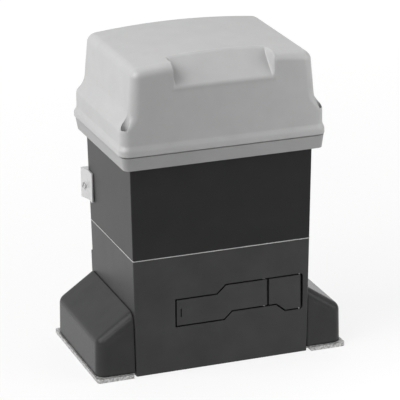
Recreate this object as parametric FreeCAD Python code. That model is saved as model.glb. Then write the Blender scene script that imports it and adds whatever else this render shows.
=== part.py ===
import FreeCAD, Part
import math
import os

# Oil-bath sliding gate motor. Two stacked castings stand on a foundation plate: the lower one holds a
# worm gear and the release gear train, the upper one the electric motor. A tray and a domed cover
# on top hold the electronics. The rack pinion turns at the back, and a release lever and a lock flap
# lie flush in the front.
# Millimetres. Origin: middle of the underside of the foundation plate. +X is right as seen from the
# front, +Y points to the back (the rack side), +Z up.

# Castings: a tall box, slightly wider upward
body_half_width = 97.25
body_front = -75.0
body_back = 67.3
body_draft = 0.0159
body_edge = 1.8
joint_height = 127.9
gasket_thick = 0.8
housing_height = 101.2
housing_top = joint_height + housing_height
wall = 6.0
top_wall = 8.0
sump_floor = 14.0
sump_thick = 8.0
skirt_gap = 3.7
back_pad_height = 91.0
back_pad_thick = 4.4

# Foot flanges of the gearbox casting and their fixings
flange_reach = 33.5
flange_half_length = 49.0
flange_thick = 10.0
rib_height = 30.0
rib_thick = 6.0
stud_reach = 16.25
stud_x = body_half_width + stud_reach
stud_y = 30.0
stud_radius = 5.0
stud_length = 32.0
stud_clearance = 0.5
nut_across = 16.0
nut_height = 8.0

# Foot covers
foot_half_length = 71.7
foot_reach = 39.5
foot_outer_x = body_half_width + foot_reach
foot_side_height = 43.5
foot_top_height = 71.0
foot_side_lean = 0.8
foot_round = 9.5
foot_wall = 2.5
foot_gap = 0.12

# Foundation plate
plate_margin = 1.7
plate_width = 2 * (foot_outer_x + plate_margin)
plate_depth = 152.5
plate_thick = 4.0
plate_corner = 4.0
anchor_margin = 40.9
anchor_spacing_x = plate_width - anchor_margin
anchor_spacing_y = 116.0
anchor_hole_radius = 6.0
cable_hole_radius = 16.0

# Tray under the cover
tray_height = 13.5
tray_top = housing_top + tray_height
tray_side_reach = 10.25
tray_low_half_width = body_half_width + tray_side_reach
tray_side_spread = 1.9
tray_top_half_width = tray_low_half_width + tray_side_spread
tray_front_reach = 11.3
tray_front = body_front - tray_front_reach
tray_back_reach = 8.1
tray_back = body_back + tray_back_reach
tray_front_spread = 0.6
tray_back_spread = 2.8
tray_corner = 6.5
tray_wall = 3.5
tray_floor = 3.0
screw_boss_radius = 5.2

# Cover
seal_thick = 0.8
seal_width = 3.0
seal_inset = 1.4
lip_side_reach = 1.2
lip_half_width = tray_top_half_width + lip_side_reach
lip_front_reach = 1.3
lip_front = tray_front - lip_front_reach
lip_back_reach = 1.1
lip_back = tray_back + tray_back_spread + lip_back_reach
lip_height = 4.5
lip_blend_height = 12.0
cover_side_inset = 0.5
cover_half_width = tray_top_half_width - cover_side_inset
cover_front_inset = 0.2
cover_front = tray_front + cover_front_inset
cover_back_reach = 0.8
cover_back = tray_back + cover_back_reach
cover_front_lean = 1.7
cover_back_lean = 8.7
shoulder_low_rise = 29.2
shoulder_low = tray_top + shoulder_low_rise
shoulder_high_rise = 41.8
shoulder_high = tray_top + shoulder_high_rise
shoulder_width = 9.4
dome_low_half_width = cover_half_width - shoulder_width
dome_side_lean = 3.2
dome_top_half_width = dome_low_half_width - dome_side_lean
dome_edge_rise = 88.7
dome_edge_height = tray_top + dome_edge_rise
dome_arch = 6.4
dome_rise = 1.8
dome_round = 8.0
shoulder_round = 7.0
crease_round = 7.0
cover_round = 7.0
cover_wall = 4.0
well_side_inset = 6.4
well_x = cover_half_width - well_side_inset
well_inset = 8.2
well_radius = 4.6
well_floor_rise = 9.4
well_floor = tray_top + well_floor_rise
recess_side_margin = 42.2
recess_half_width = dome_top_half_width - recess_side_margin
recess_drop = 22.3
recess_low = dome_edge_height - recess_drop
recess_back = 23.0

# Output shaft, pinion and their bearings
shaft_drop = 43.9
shaft_height = joint_height - shaft_drop
pinion_teeth = 16
pinion_module = 4.0
pinion_width = 25.0
pinion_gap = 4.6
pressure_angle = 20.0
shaft_radius = 12.5
front_journal_radius = 10.0
pinion_seat_radius = 10.0
run_clearance = 0.04
facing_step = 0.2
facing_y = body_back + facing_step
front_bearing_outer = 21.0
front_bearing_width = 12.0
front_bearing_inset = 22.0
front_bearing_y = body_front + front_bearing_inset
rear_bearing_outer = 26.0
rear_bearing_width = 15.0
rear_bearing_inset = 20.0
rear_bearing_y = facing_y - rear_bearing_inset
facing_radius = 40.0
end_flange_radius = 37.0
end_flange_thick = 5.0
end_flange_pcd = 62.0
seal_outer = 20.0
shaft_seal_width = 6.0
end_washer_radius = 15.0
end_washer_thick = 2.0
end_screw_across = 13.0
end_screw_head = 4.8
key_width = 6.0

# Worm gear
worm_module = 2.0
wheel_teeth = 30
worm_pitch_radius = 10.0
worm_addendum = 1.8
worm_dedendum = 2.4
worm_turns = 3
wheel_width = 16.0
wheel_inset = 57.0
wheel_y = body_front + wheel_inset
tooth_slack = 0.35

# Motor
motor_shaft_foot = 44.0
lower_bearing_outer = 16.0
lower_bearing_width = 10.0
middle_bearing_outer = 20.0
middle_bearing_width = 12.0
middle_bearing_drop = 13.9
middle_bearing_z = joint_height - middle_bearing_drop
end_journal_radius = 6.0
middle_journal_radius = 8.5
core_shaft_radius = 9.0
stator_thick = 23.0
stator_side_gap = 3.25
stator_front_gap = 3.0
winding_inset = 4.0
winding_bevel = 4.0
air_gap = 0.4
core_rise = 10.1
core_low = joint_height + core_rise
winding_height = 9.0
sleeve_thick = 5.0
motor_flange_thick = 8.0

# Dog clutch, release rod and fork
dog_count = 4
dog_height = 3.0
dog_width = 7.0
dog_clearance = 0.4
hub_radius = 21.0
collar_radius = 21.0
collar_length = 16.0
groove_depth = 3.0
groove_width = 3.6
fork_thick = 3.0
release_travel = 4.0
rod_radius = 5.0

# Release lever and lock in the front face
release_margin = 8.0
release_right = body_half_width - release_margin
release_length = 140.7
release_left = release_right - release_length
release_corner = 3.0
release_drop = 78.2
arm_low_bottom = joint_height - release_drop
arm_low_height = 29.8
arm_low_top = arm_low_bottom + arm_low_height
arm_high_rise = 8.4
arm_high_bottom = arm_low_bottom + arm_high_rise
release_height = 38.9
arm_high_top = arm_low_bottom + release_height
top_step_start = 95.6
top_step_left = release_right - top_step_start
top_step_end = 85.7
top_step_right = release_right - top_step_end
bottom_step_start = 87.5
bottom_step_left = release_right - bottom_step_start
bottom_step_end = 78.6
bottom_step_right = release_right - bottom_step_end
lock_step_start = 29.2
lock_step_left = release_right - lock_step_start
lock_step_end = 19.1
lock_step_right = release_right - lock_step_end
flap_length = 37.6
arm_end = release_right - flap_length
half_gap = 0.85
split_half_gap = 0.25
pocket_depth = 13.0
pocket_wall = 5.0
lever_thick = 7.0
lever_wall = 2.0
lever_barrel_radius = 4.2
lever_axis_inset = 5.0
lever_axis_y = body_front + lever_axis_inset
lever_pin_radius = 2.0
lever_cam_height = 9.0
flap_thick = 2.6
flap_barrel_radius = 1.9
flap_pin_radius = 1.0
lock_inset = 18.2
lock_x = release_right - lock_inset
lock_rise = 18.8
lock_z = arm_low_bottom + lock_rise
lock_radius = 8.0
lock_collar = 3.0
lock_tongue = 12.0

# Cable duct through the castings
duct_side_gap = 5.25
duct_x1 = body_half_width - wall - duct_side_gap
duct_width = 34.0
duct_x0 = duct_x1 - duct_width
duct_back_gap = 9.3
duct_y1 = body_back - wall - duct_back_gap
duct_depth = 32.0
duct_y0 = duct_y1 - duct_depth
duct_wall = 4.0

# Limit sensor and its folded cover at the back
sensor_rise = 23.1
sensor_low = joint_height + sensor_rise
sensor_height = 32.5
sensor_high = sensor_low + sensor_height
sensor_front_inset = 16.3
sensor_front = body_back - sensor_front_inset
sensor_fold_inset = 2.6
sensor_fold = body_back - sensor_fold_inset
sensor_back_reach = 11.2
sensor_back = body_back + sensor_back_reach
sensor_side_reach = 7.35
sensor_back_half_width = body_half_width + sensor_side_reach
sensor_sheet = 1.5
sensor_gap = 0.2
sensor_screw_along = 6.1

# Reach of the blocks that cut or bound a form, well beyond the part on every side
far = 400.0

# Values worked out from the sizes above
gasket_low = joint_height - gasket_thick / 2
gasket_high = joint_height + gasket_thick / 2
cover_low = tray_top + seal_thick
tray_inner_floor = housing_top + tray_floor
centre_distance = worm_module * wheel_teeth / 2 + worm_pitch_radius
worm_x = -centre_distance
stator_side_room = body_half_width - wall - centre_distance - stator_side_gap
stator_front_room = wheel_y - body_front - wall - stator_front_gap
stator_radius = min(stator_side_room, stator_front_room)
rotor_radius = stator_radius - stator_thick
pinion_y = facing_y + end_flange_thick + pinion_gap
shaft_end_inset = 0.5
shaft_end_y = pinion_y + pinion_width - shaft_end_inset
hub_y = wheel_y + wheel_width / 2
collar_y = hub_y + dog_height + 1.0
groove_start = 8.0
groove_y = collar_y + groove_start
lever_axis_x = arm_end - split_half_gap - lever_barrel_radius
rod_front_gap = 0.9
rod_front_y = lever_axis_y + lever_barrel_radius + rod_front_gap
flap_axis_x = release_right - half_gap - flap_barrel_radius
upper_bearing_z = housing_top - top_wall - lower_bearing_width
core_end_gap = 6.1
core_high = upper_bearing_z - winding_height - core_end_gap
pocket_back = body_front + pocket_depth + 1.0
worm_lead = math.pi * worm_module
worm_half_length = worm_turns / 2 * worm_lead


def half_width_at(z):
    return body_half_width + body_draft * (z - joint_height)


def front_at(z):
    return body_front - body_draft * (z - joint_height)


def back_at(z):
    return body_back + body_draft * (z - joint_height)


def vec(x, y, z):
    return FreeCAD.Vector(x, y, z)


def box(x0, x1, y0, y1, z0, z1):
    return Part.makeBox(x1 - x0, y1 - y0, z1 - z0, vec(x0, y0, z0))


def rod_y(radius, x, z, y0, y1):
    return Part.makeCylinder(radius, y1 - y0, vec(x, y0, z), vec(0, 1, 0))


def rod_z(radius, x, y, z0, z1):
    return Part.makeCylinder(radius, z1 - z0, vec(x, y, z0))


def ring_y(outer, inner, x, z, y0, y1):
    return rod_y(outer, x, z, y0, y1).cut(rod_y(inner, x, z, y0, y1))


def ring_z(outer, inner, x, y, z0, z1):
    return rod_z(outer, x, y, z0, z1).cut(rod_z(inner, x, y, z0, z1))


# A flat face from a list of corner points
def polygon(points):
    return Part.Face(Part.makePolygon(points + [points[0]]))


# Rectangle with round corners in a level plane
def rounded_rectangle(x0, x1, y0, y1, z, radius):
    turn = radius * (1 - math.sqrt(0.5))
    corners = [(x1, y0, -1, 1), (x1, y1, -1, -1), (x0, y1, 1, -1), (x0, y0, 1, 1)]
    arcs = []
    for x, y, inward_x, inward_y in corners:
        along_y = vec(x, y + inward_y * radius, z)
        along_x = vec(x + inward_x * radius, y, z)
        middle = vec(x + inward_x * turn, y + inward_y * turn, z)
        first, last = (along_x, along_y) if inward_x * inward_y < 0 else (along_y, along_x)
        arcs.append((first, middle, last))
    edges = []
    for index in range(4):
        first, middle, last = arcs[index]
        edges.append(Part.Arc(first, middle, last).toShape())
        edges.append(Part.LineSegment(last, arcs[(index + 1) % 4][0]).toShape())
    return Part.Wire(edges)


# Hexagonal prism along a direction
def hexagon(across, height, base, direction):
    reach = across / math.sqrt(3)
    points = []
    for index in range(6):
        angle = math.radians(60 * index)
        points.append(vec(reach * math.cos(angle), reach * math.sin(angle), 0))
    prism = polygon(points).extrude(vec(0, 0, height))
    prism.Placement = FreeCAD.Placement(base, FreeCAD.Rotation(vec(0, 0, 1), direction))
    return prism


# Box whose four sides lean: a front view outline and a side view outline swept through each other.
# Each end is given as left, right, front, back, height.
def leaning_box(low_end, high_end):
    left0, right0, front0, back0, z0 = low_end
    left1, right1, front1, back1, z1 = high_end
    front_view = polygon([
        vec(left0, -far, z0),
        vec(right0, -far, z0),
        vec(right1, -far, z1),
        vec(left1, -far, z1),
    ])
    side_view = polygon([
        vec(-far, front0, z0),
        vec(-far, back0, z0),
        vec(-far, back1, z1),
        vec(-far, front1, z1),
    ])
    return front_view.extrude(vec(0, 2 * far, 0)).common(side_view.extrude(vec(2 * far, 0, 0)))


def rounded_leaning_box(low_end, high_end, radius):
    solid = leaning_box(low_end, high_end)
    height = high_end[4] - low_end[4]
    return round_edges(solid, radius, lambda edge: edge.BoundBox.ZLength > height * 0.9)


# Solid of the castings' drafted outer form between two heights, made smaller by an inset
def drafted_block(z0, z1, inset=0.0, edge=body_edge):
    ends = []
    for z in (z0, z1):
        half = half_width_at(z) - inset
        ends.append((-half, half, front_at(z) + inset, back_at(z) - inset, z))
    return rounded_leaning_box(ends[0], ends[1], edge)


# Fillets on the edges that a test picks
def round_edges(shape, radius, pick):
    edges = [edge for edge in shape.Edges if pick(edge)]
    return shape.makeFillet(radius, edges)


# Deep groove bearing, with a shield set back on its upper face
def bearing(outer, inner, width):
    race = (outer - inner) * 0.3
    recess = 0.8
    points = [
        vec(inner, 0, 0),
        vec(outer, 0, 0),
        vec(outer, 0, width),
        vec(outer - race, 0, width),
        vec(outer - race, 0, width - recess),
        vec(inner + race, 0, width - recess),
        vec(inner + race, 0, width),
        vec(inner, 0, width),
    ]
    return polygon(points).revolve(vec(0, 0, 0), vec(0, 0, 1), 360)


def place_along_y(shape, x, y, z):
    moved = shape.copy()
    moved.Placement = FreeCAD.Placement(vec(x, y, z), FreeCAD.Rotation(vec(0, 0, 1), vec(0, 1, 0)))
    return moved


def place_along_z(shape, x, y, z):
    moved = shape.copy()
    moved.translate(vec(x, y, z))
    return moved


def corner_points(half_x, half_y):
    return [(-half_x, -half_y), (half_x, -half_y), (half_x, half_y), (-half_x, half_y)]


# Foundation plate, cut back at the front where the casting's front skirt comes down to the ground
def foundation_plate():
    half_x = plate_width / 2
    half_y = plate_depth / 2
    outline = rounded_rectangle(-half_x, half_x, -half_y, half_y, 0, plate_corner)
    plate = Part.Face(outline).extrude(vec(0, 0, plate_thick))
    notch_half = half_width_at(0) + skirt_gap
    notch_back = front_at(0) + wall + 0.3
    plate = plate.cut(box(-notch_half, notch_half, -half_y - 1, notch_back, -1, plate_thick + 1))
    for x, y in corner_points(anchor_spacing_x / 2, anchor_spacing_y / 2):
        plate = plate.cut(rod_z(anchor_hole_radius, x, y, -1, plate_thick + 1))
    for x, y in corner_points(stud_x, stud_y):
        plate = plate.cut(rod_z(stud_radius, x, y, -1, plate_thick + 1))
    duct_x = (duct_x0 + duct_x1) / 2
    duct_y = (duct_y0 + duct_y1) / 2
    return plate.cut(rod_z(cable_hole_radius, duct_x, duct_y, -1, plate_thick + 1))


def mounting_studs():
    studs = [rod_z(stud_radius, x, y, 0, stud_length) for x, y in corner_points(stud_x, stud_y)]
    return Part.makeCompound(studs)


def mounting_nuts():
    low = plate_thick + flange_thick
    nuts = []
    for x, y in corner_points(stud_x, stud_y):
        nut = hexagon(nut_across, nut_height, vec(x, y, low), vec(0, 0, 1))
        nuts.append(nut.cut(rod_z(stud_radius, x, y, low - 1, low + nut_height + 1)))
    return Part.makeCompound(nuts)


# Outline of the release recess in the front face, seen from the front, grown by an offset
def release_outline(offset):
    points = [
        (release_left, arm_low_bottom),
        (bottom_step_left, arm_low_bottom),
        (bottom_step_right, arm_high_bottom),
        (lock_step_left, arm_high_bottom),
        (lock_step_right, arm_low_bottom),
        (release_right, arm_low_bottom),
        (release_right, arm_high_top),
        (top_step_right, arm_high_top),
        (top_step_left, arm_low_top),
        (release_left, arm_low_top),
    ]
    wire = Part.makePolygon([vec(x, 0, z) for x, z in points + points[:1]])
    return Part.Face(wire.makeOffset2D(offset, 2, False, False, False))


# Prism of the release outline from one depth to another
def release_prism(offset, y0, y1):
    face = release_outline(offset)
    face.translate(vec(0, y0, 0))
    prism = face.extrude(vec(0, y1 - y0, 0))
    return round_edges(prism, max(release_corner + offset, 0.5), is_right_corner)


# True for the two edges that run inward from the right corners of the release outline
def is_right_corner(edge):
    bounds = edge.BoundBox
    return bounds.YLength > 1 and bounds.XLength < 0.01 and bounds.XMin > lock_step_right + 8


# Foot flanges with their ribs on both sides of the gearbox casting
def foot_flanges():
    pieces = []
    low = plate_thick
    for side in (-1, 1):
        inner = half_width_at(low) - wall
        outer = half_width_at(low) + flange_reach
        x0, x1 = sorted((side * inner, side * outer))
        slab = box(x0, x1, -flange_half_length, flange_half_length, low, low + flange_thick)
        slab = round_edges(slab, 8.0, lambda edge: is_upright(edge) and abs(edge.CenterOfMass.x) > outer - 1)
        pieces.append(slab)
        for y in (-flange_half_length + rib_thick / 2, 0, flange_half_length - rib_thick / 2):
            points = [
                vec(side * inner, y - rib_thick / 2, low + flange_thick),
                vec(side * (outer - 4), y - rib_thick / 2, low + flange_thick),
                vec(side * inner, y - rib_thick / 2, low + flange_thick + rib_height),
            ]
            pieces.append(polygon(points).extrude(vec(0, rib_thick, 0)))
    return pieces


def is_upright(edge):
    first = edge.Vertexes[0].Point
    last = edge.Vertexes[-1].Point
    return abs(first.x - last.x) < 0.01 and abs(first.y - last.y) < 0.01 and abs(first.z - last.z) > 1


# Lower casting: oil sump, bearing bosses, foot flanges, release recess and cable duct
def gearbox_casting():
    casting = drafted_block(plate_thick, gasket_low)
    skirt = drafted_block(0, plate_thick + 1)
    skirt = skirt.common(box(-far, far, -far, front_at(0) + wall, 0, plate_thick + 1))
    casting = casting.fuse(skirt)
    casting = casting.fuse(back_pad())
    casting = casting.cut(drafted_block(plate_thick - 1, sump_floor, wall))
    cavity = drafted_block(sump_floor + sump_thick, gasket_low + 1, wall)
    front_block = box(release_left - 6, far, -far, pocket_back + pocket_wall, 0, arm_high_top + 7)
    duct_block = box(
        duct_x0 - duct_wall, far, duct_y0 - duct_wall, far, 0, gasket_low + 2
    )
    front_boss = rod_y(front_bearing_outer + 6, 0, shaft_height, -far, front_bearing_y + front_bearing_width)
    rear_boss = rod_y(rear_bearing_outer + 6, 0, shaft_height, rear_bearing_y, far)
    floor_boss = rod_z(
        lower_bearing_outer + 3, worm_x, wheel_y, 0, motor_shaft_foot + lower_bearing_width
    )
    rod_boss = rod_y(rod_radius + 5, lever_axis_x, lock_z, -far, pocket_back + 20)
    for block in (front_block, duct_block, front_boss, rear_boss, floor_boss, rod_boss):
        cavity = cavity.cut(block)
    casting = casting.cut(cavity)
    casting = casting.cut(rod_y(facing_radius, 0, shaft_height, facing_y, facing_y + 20))
    casting = casting.fuse(rod_y(facing_radius, 0, shaft_height, body_back - wall, facing_y))
    casting = casting.fuse(foot_flanges())
    casting = casting.cut(rod_y(front_bearing_outer, 0, shaft_height, front_bearing_y, wheel_y))
    casting = casting.cut(rod_y(rear_bearing_outer, 0, shaft_height, rear_bearing_y - 1, facing_y + 1))
    casting = casting.cut(
        rod_z(lower_bearing_outer, worm_x, wheel_y, motor_shaft_foot, motor_shaft_foot + 20)
    )
    casting = casting.cut(release_prism(half_gap, -far, pocket_back))
    casting = casting.cut(
        rod_y(rod_radius + run_clearance, lever_axis_x, lock_z, pocket_back - 1, pocket_back + 21)
    )
    casting = casting.cut(
        rod_y(lock_radius + run_clearance, lock_x, lock_z, pocket_back - 1, pocket_back + pocket_wall + 1)
    )
    casting = casting.cut(
        rod_z(lever_pin_radius, lever_axis_x, lever_axis_y, arm_high_bottom - 7, arm_high_top + 6)
    )
    casting = casting.cut(
        rod_z(flap_pin_radius, flap_axis_x, flap_axis_y(), arm_low_bottom - 5, arm_high_top + 5)
    )
    casting = casting.cut(box(duct_x0, duct_x1, duct_y0, duct_y1, -1, gasket_low + 1))
    for x, y in corner_points(stud_x, stud_y):
        hole = rod_z(stud_radius + stud_clearance, x, y, plate_thick - 1, plate_thick + flange_thick + 1)
        casting = casting.cut(hole)
    for x, z in end_flange_screw_places():
        casting = casting.cut(rod_y(2.5, x, z, facing_y - 12, facing_y + 1))
    for x, z in oil_plug_places():
        casting = casting.cut(rod_y(4.0, x, z, back_at(z) - wall - 1, back_face_at(z) + 1))
    return casting.removeSplitter()


# Thicker lower part of the back wall
def back_pad():
    pad = drafted_block(plate_thick, back_pad_height)
    pad.translate(vec(0, back_pad_thick, 0))
    return pad.common(box(-far, far, body_back - wall, far, 0, far))


def back_face_at(z):
    return back_at(z) + (back_pad_thick if z < back_pad_height else 0)


def flap_axis_y():
    return front_at(arm_low_bottom) + 0.2 + flap_barrel_radius


# Plate that closes the gearbox and centres the motor; its hub holds the middle bearing
def motor_flange():
    low = gasket_low - motor_flange_thick
    plate = drafted_block(low, gasket_low, wall + 0.15)
    plate = plate.cut(box(duct_x0 - duct_wall - 0.15, far, duct_y0 - duct_wall - 0.15, far, 0, far))
    plate = plate.fuse(rod_z(middle_bearing_outer + 4, worm_x, wheel_y, middle_bearing_z - 0.5, gasket_low))
    plate = plate.cut(rod_z(middle_bearing_outer, worm_x, wheel_y, middle_bearing_z, middle_bearing_z + 12))
    return plate.cut(rod_z(middle_journal_radius + 2, worm_x, wheel_y, 0, far))


# Thin gasket between the castings; its light edge shows all round
def casting_gasket():
    outer = drafted_block(gasket_low, gasket_high, -0.25)
    return outer.cut(drafted_block(gasket_low - 1, gasket_high + 1, wall))


# Upper casting with the sleeve that holds the stator
def motor_housing():
    housing = drafted_block(gasket_high, housing_top)
    cavity = drafted_block(gasket_high - 1, housing_top - top_wall, wall)
    sleeve_radius = stator_radius + sleeve_thick
    sleeve = ring_z(sleeve_radius, stator_radius, worm_x, wheel_y, gasket_high + 5, core_high + 4)
    top_boss = rod_z(lower_bearing_outer + 5, worm_x, wheel_y, upper_bearing_z, housing_top)
    duct_block = box(duct_x0 - duct_wall, far, duct_y0 - duct_wall, far, 0, housing_top)
    for block in (sleeve, top_boss, duct_block):
        cavity = cavity.cut(block)
    housing = housing.cut(cavity)
    pad = box(-24, 24, body_back - wall / 2, carrier_y(), sensor_low + 5, sensor_high - 4)
    housing = housing.fuse(pad)
    seat_top = upper_bearing_z + lower_bearing_width
    housing = housing.cut(rod_z(lower_bearing_outer, worm_x, wheel_y, upper_bearing_z - 1, seat_top))
    housing = housing.cut(box(duct_x0, duct_x1, duct_y0, duct_y1, gasket_high - 1, housing_top + 1))
    return housing.removeSplitter()


# Tray that closes the castings at the top and carries the electronics and the cover
def cover_tray():
    low_end = (-tray_low_half_width, tray_low_half_width, tray_front, tray_back, housing_top)
    high_end = (
        -tray_top_half_width,
        tray_top_half_width,
        tray_front - tray_front_spread,
        tray_back + tray_back_spread,
        tray_top,
    )
    tray = rounded_leaning_box(low_end, high_end, tray_corner)
    inner_half = tray_low_half_width - tray_wall
    inner = rounded_rectangle(
        -inner_half,
        inner_half,
        tray_front + tray_wall,
        tray_back - tray_wall,
        tray_inner_floor,
        tray_corner - tray_wall,
    )
    pocket = Part.Face(inner).extrude(vec(0, 0, tray_top))
    for x, y in well_places():
        pocket = pocket.cut(rod_z(screw_boss_radius, x, y, housing_top, tray_top + 1))
    tray = tray.cut(pocket)
    for x, y in well_places():
        tray = tray.cut(rod_z(2.0, x, y, tray_inner_floor + 1, tray_top + 1))
    duct_x = (duct_x0 + duct_x1) / 2
    duct_y = (duct_y0 + duct_y1) / 2
    tray = tray.cut(rod_z(cable_hole_radius - 1, duct_x, duct_y, housing_top - 1, tray_inner_floor + 1))
    return tray.removeSplitter()


def well_places():
    front = cover_front + well_inset
    back = cover_back - well_inset
    return [(-well_x, front), (well_x, front), (well_x, back), (-well_x, back)]


# Soft seal in the seam between tray and cover, set back from the edge
def cover_seal():
    def frame(inset):
        half = tray_top_half_width - inset
        front = tray_front - tray_front_spread + inset
        back = tray_back + tray_back_spread - inset
        corner = max(tray_corner - inset, 1.0)
        return Part.Face(rounded_rectangle(-half, half, front, back, tray_top, corner))

    seal = frame(seal_inset).cut(frame(seal_inset + seal_width)).extrude(vec(0, 0, seal_thick))
    for x, y in well_places():
        seal = seal.cut(rod_z(3.0, x, y, tray_top - 1, cover_low + 1))
    return seal


# Front view outline of the cover above the seam: walls, shoulders, sloping dome sides and arched top
def cover_outline(inset, low, y):
    half = cover_half_width - inset
    dome_low = dome_low_half_width - inset
    dome_top = dome_top_half_width - inset
    edge_height = dome_edge_height - inset
    shoulder = shoulder_low - inset * 0.6
    crease = shoulder_high - inset * 0.6
    side = [
        vec(half, y, low),
        vec(half, y, shoulder),
        vec(dome_low, y, crease),
        vec(dome_top, y, edge_height),
    ]
    other_side = [vec(-point.x, point.y, point.z) for point in reversed(side)]
    arch = Part.Arc(side[-1], vec(0, y, edge_height + dome_arch), other_side[0])
    edges = [Part.LineSegment(side[i], side[i + 1]).toShape() for i in range(3)]
    edges.append(arch.toShape())
    edges += [Part.LineSegment(other_side[i], other_side[i + 1]).toShape() for i in range(3)]
    edges.append(Part.LineSegment(other_side[-1], side[0]).toShape())
    return Part.Face(Part.Wire(edges))


# Solid of the cover's form: the outline swept to the back, its long edges rounded where heights and
# radii are given, then tipped so that the dome rises slightly to the back, and its ends cut to lean in
def cover_form(inset, low, roundings):
    front = cover_front + inset
    back = cover_back - inset
    start = front - 20
    form = cover_outline(inset, low - 15, start).extrude(vec(0, back - front + 40, 0))
    for height, radius in roundings:
        form = round_edges(form, radius, lambda edge: is_long_edge(edge, height))
    tip_angle = math.degrees(math.atan(dome_rise / (cover_back - cover_front)))
    form.rotate(vec(0, (front + back) / 2, dome_edge_height), vec(1, 0, 0), tip_angle)
    top = dome_edge_height + dome_arch + 10
    lean_height = dome_edge_height - cover_low
    front_top = front + cover_front_lean * (top - cover_low) / lean_height
    back_top = back - cover_back_lean * (top - cover_low) / lean_height
    side = polygon([
        vec(-far, front, low),
        vec(-far, back, low),
        vec(-far, back_top, top),
        vec(-far, front_top, top),
    ])
    return form.common(side.extrude(vec(2 * far, 0, 0)))


def is_long_edge(edge, height):
    along_y = edge.BoundBox.YLength > 100 and edge.BoundBox.XLength < 0.1
    return along_y and abs(edge.CenterOfMass.z - height) < 0.5


# True for the edges round the front and back faces of the cover, apart from the bottom ones
def is_end_edge(edge, low):
    bounds = edge.BoundBox
    level_at_low = bounds.ZLength < 0.01 and abs(bounds.ZMin - low) < 0.01
    return bounds.YLength < 12.0 and bounds.ZMax > low + 1 and not level_at_low


# Domed cover: shell with a lip at the seam, four screw wells in the shoulders and a slanting recess
def cover():
    roundings = [
        (shoulder_low, shoulder_round),
        (shoulder_high, crease_round),
        (dome_edge_height, dome_round),
    ]
    form = cover_form(0, cover_low, roundings)
    form = round_edges(form, cover_round, lambda edge: is_end_edge(edge, cover_low))
    body = form.fuse(cover_lip())
    notch = polygon([
        vec(-recess_half_width, cover_front - 5, recess_low - 5),
        vec(-recess_half_width, cover_front + recess_back + 20, recess_low + recess_back + 20),
        vec(-recess_half_width, cover_front - 5, recess_low + recess_back + 20),
    ])
    body = body.cut(notch.extrude(vec(2 * recess_half_width, 0, 0)))
    hollow = cover_form(cover_wall, cover_low, [])
    inner_notch = polygon([
        vec(-recess_half_width - cover_wall, cover_front - 5, recess_low - 5 - cover_wall * math.sqrt(2)),
        vec(
            -recess_half_width - cover_wall,
            cover_front + recess_back + 20,
            recess_low + recess_back + 20 - cover_wall * math.sqrt(2),
        ),
        vec(-recess_half_width - cover_wall, cover_front - 5, recess_low + recess_back + 20),
    ])
    hollow = hollow.cut(inner_notch.extrude(vec(2 * (recess_half_width + cover_wall), 0, 0)))
    for x, y in well_places():
        hollow = hollow.cut(rod_z(well_radius + 2.2, x, y, cover_low - 1, shoulder_high + 30))
    body = body.cut(hollow)
    for x, y in well_places():
        body = body.cut(rod_z(well_radius, x, y, well_floor, shoulder_high + 40))
        body = body.cut(rod_z(2.7, x, y, cover_low - 1, well_floor + 1))
    return body.removeSplitter()


# Rim at the seam, blending upward into the walls
def cover_lip():
    sides = (-lip_half_width, lip_half_width, lip_front, lip_back)
    wall_sides = (-cover_half_width + 0.6, cover_half_width - 0.6, cover_front + 1.2, cover_back - 2.2)
    low = cover_low + lip_height
    rim = rounded_leaning_box((*sides, cover_low), (*sides, low), tray_corner + 1)
    blend = rounded_leaning_box((*sides, low), (*wall_sides, cover_low + lip_blend_height), tray_corner + 1)
    return rim.fuse(blend)


def cover_screws():
    screws = []
    for x, y in well_places():
        head = rod_z(4.0, x, y, well_floor, well_floor + 3.0)
        slot = box(x - 5, x + 5, y - 0.6, y + 0.6, well_floor + 1.6, well_floor + 4)
        shank = rod_z(2.0, x, y, tray_inner_floor + 3, well_floor)
        screws.append(head.cut(slot).fuse(shank))
    return Part.makeCompound(screws)


# Outer or inner form of a foot cover on the right side, before it is mirrored
def foot_form(inset):
    low = plate_thick - (10.0 if inset else 0.0)
    inner_x = half_width_at(0) - 12
    outer_top = foot_outer_x - foot_side_lean
    slope = (foot_top_height - foot_side_height) / (outer_top - half_width_at(foot_top_height))
    start_height = foot_top_height + slope * (half_width_at(foot_top_height) - inner_x)
    y0 = -foot_half_length + inset
    points = [
        vec(inner_x, y0, low),
        vec(foot_outer_x - inset, y0, low),
        vec(outer_top - inset, y0, foot_side_height - inset * 0.8),
        vec(inner_x, y0, start_height - inset * 1.3),
    ]
    form = polygon(points).extrude(vec(0, 2 * (foot_half_length - inset), 0))
    radius = foot_round - inset
    return round_edges(form, radius, lambda edge: is_foot_edge(edge, inner_x, low))


# True for the outer upright, sloping and level edges of a foot, apart from the base and the inner side
def is_foot_edge(edge, inner_x, low):
    middle = edge.CenterOfMass
    return middle.x > inner_x + 1 and middle.z > low + 1


def foot_cover(side):
    shell = foot_form(0).cut(foot_form(foot_wall))
    low_half = half_width_at(0) + foot_gap
    high_half = half_width_at(gasket_low) + foot_gap
    body = leaning_box((-low_half, low_half, -far, far, 0), (-high_half, high_half, -far, far, gasket_low))
    shell = shell.cut(body)
    shell = shell.common(box(0, far, -far, far, plate_thick, far))
    if side < 0:
        shell = shell.mirror(vec(0, 0, 0), vec(1, 0, 0))
    return shell


# Lever arm and flap share the outline of the recess, less the gap, and follow the drafted front face
def release_plate(thick):
    prism = release_prism(-half_gap, -far, 0)
    skin = drafted_block(0, gasket_low).cut(drafted_block(-1, gasket_low + 1, thick))
    return prism.common(skin).common(box(-far, far, -far, pocket_back, 0, far))


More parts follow.
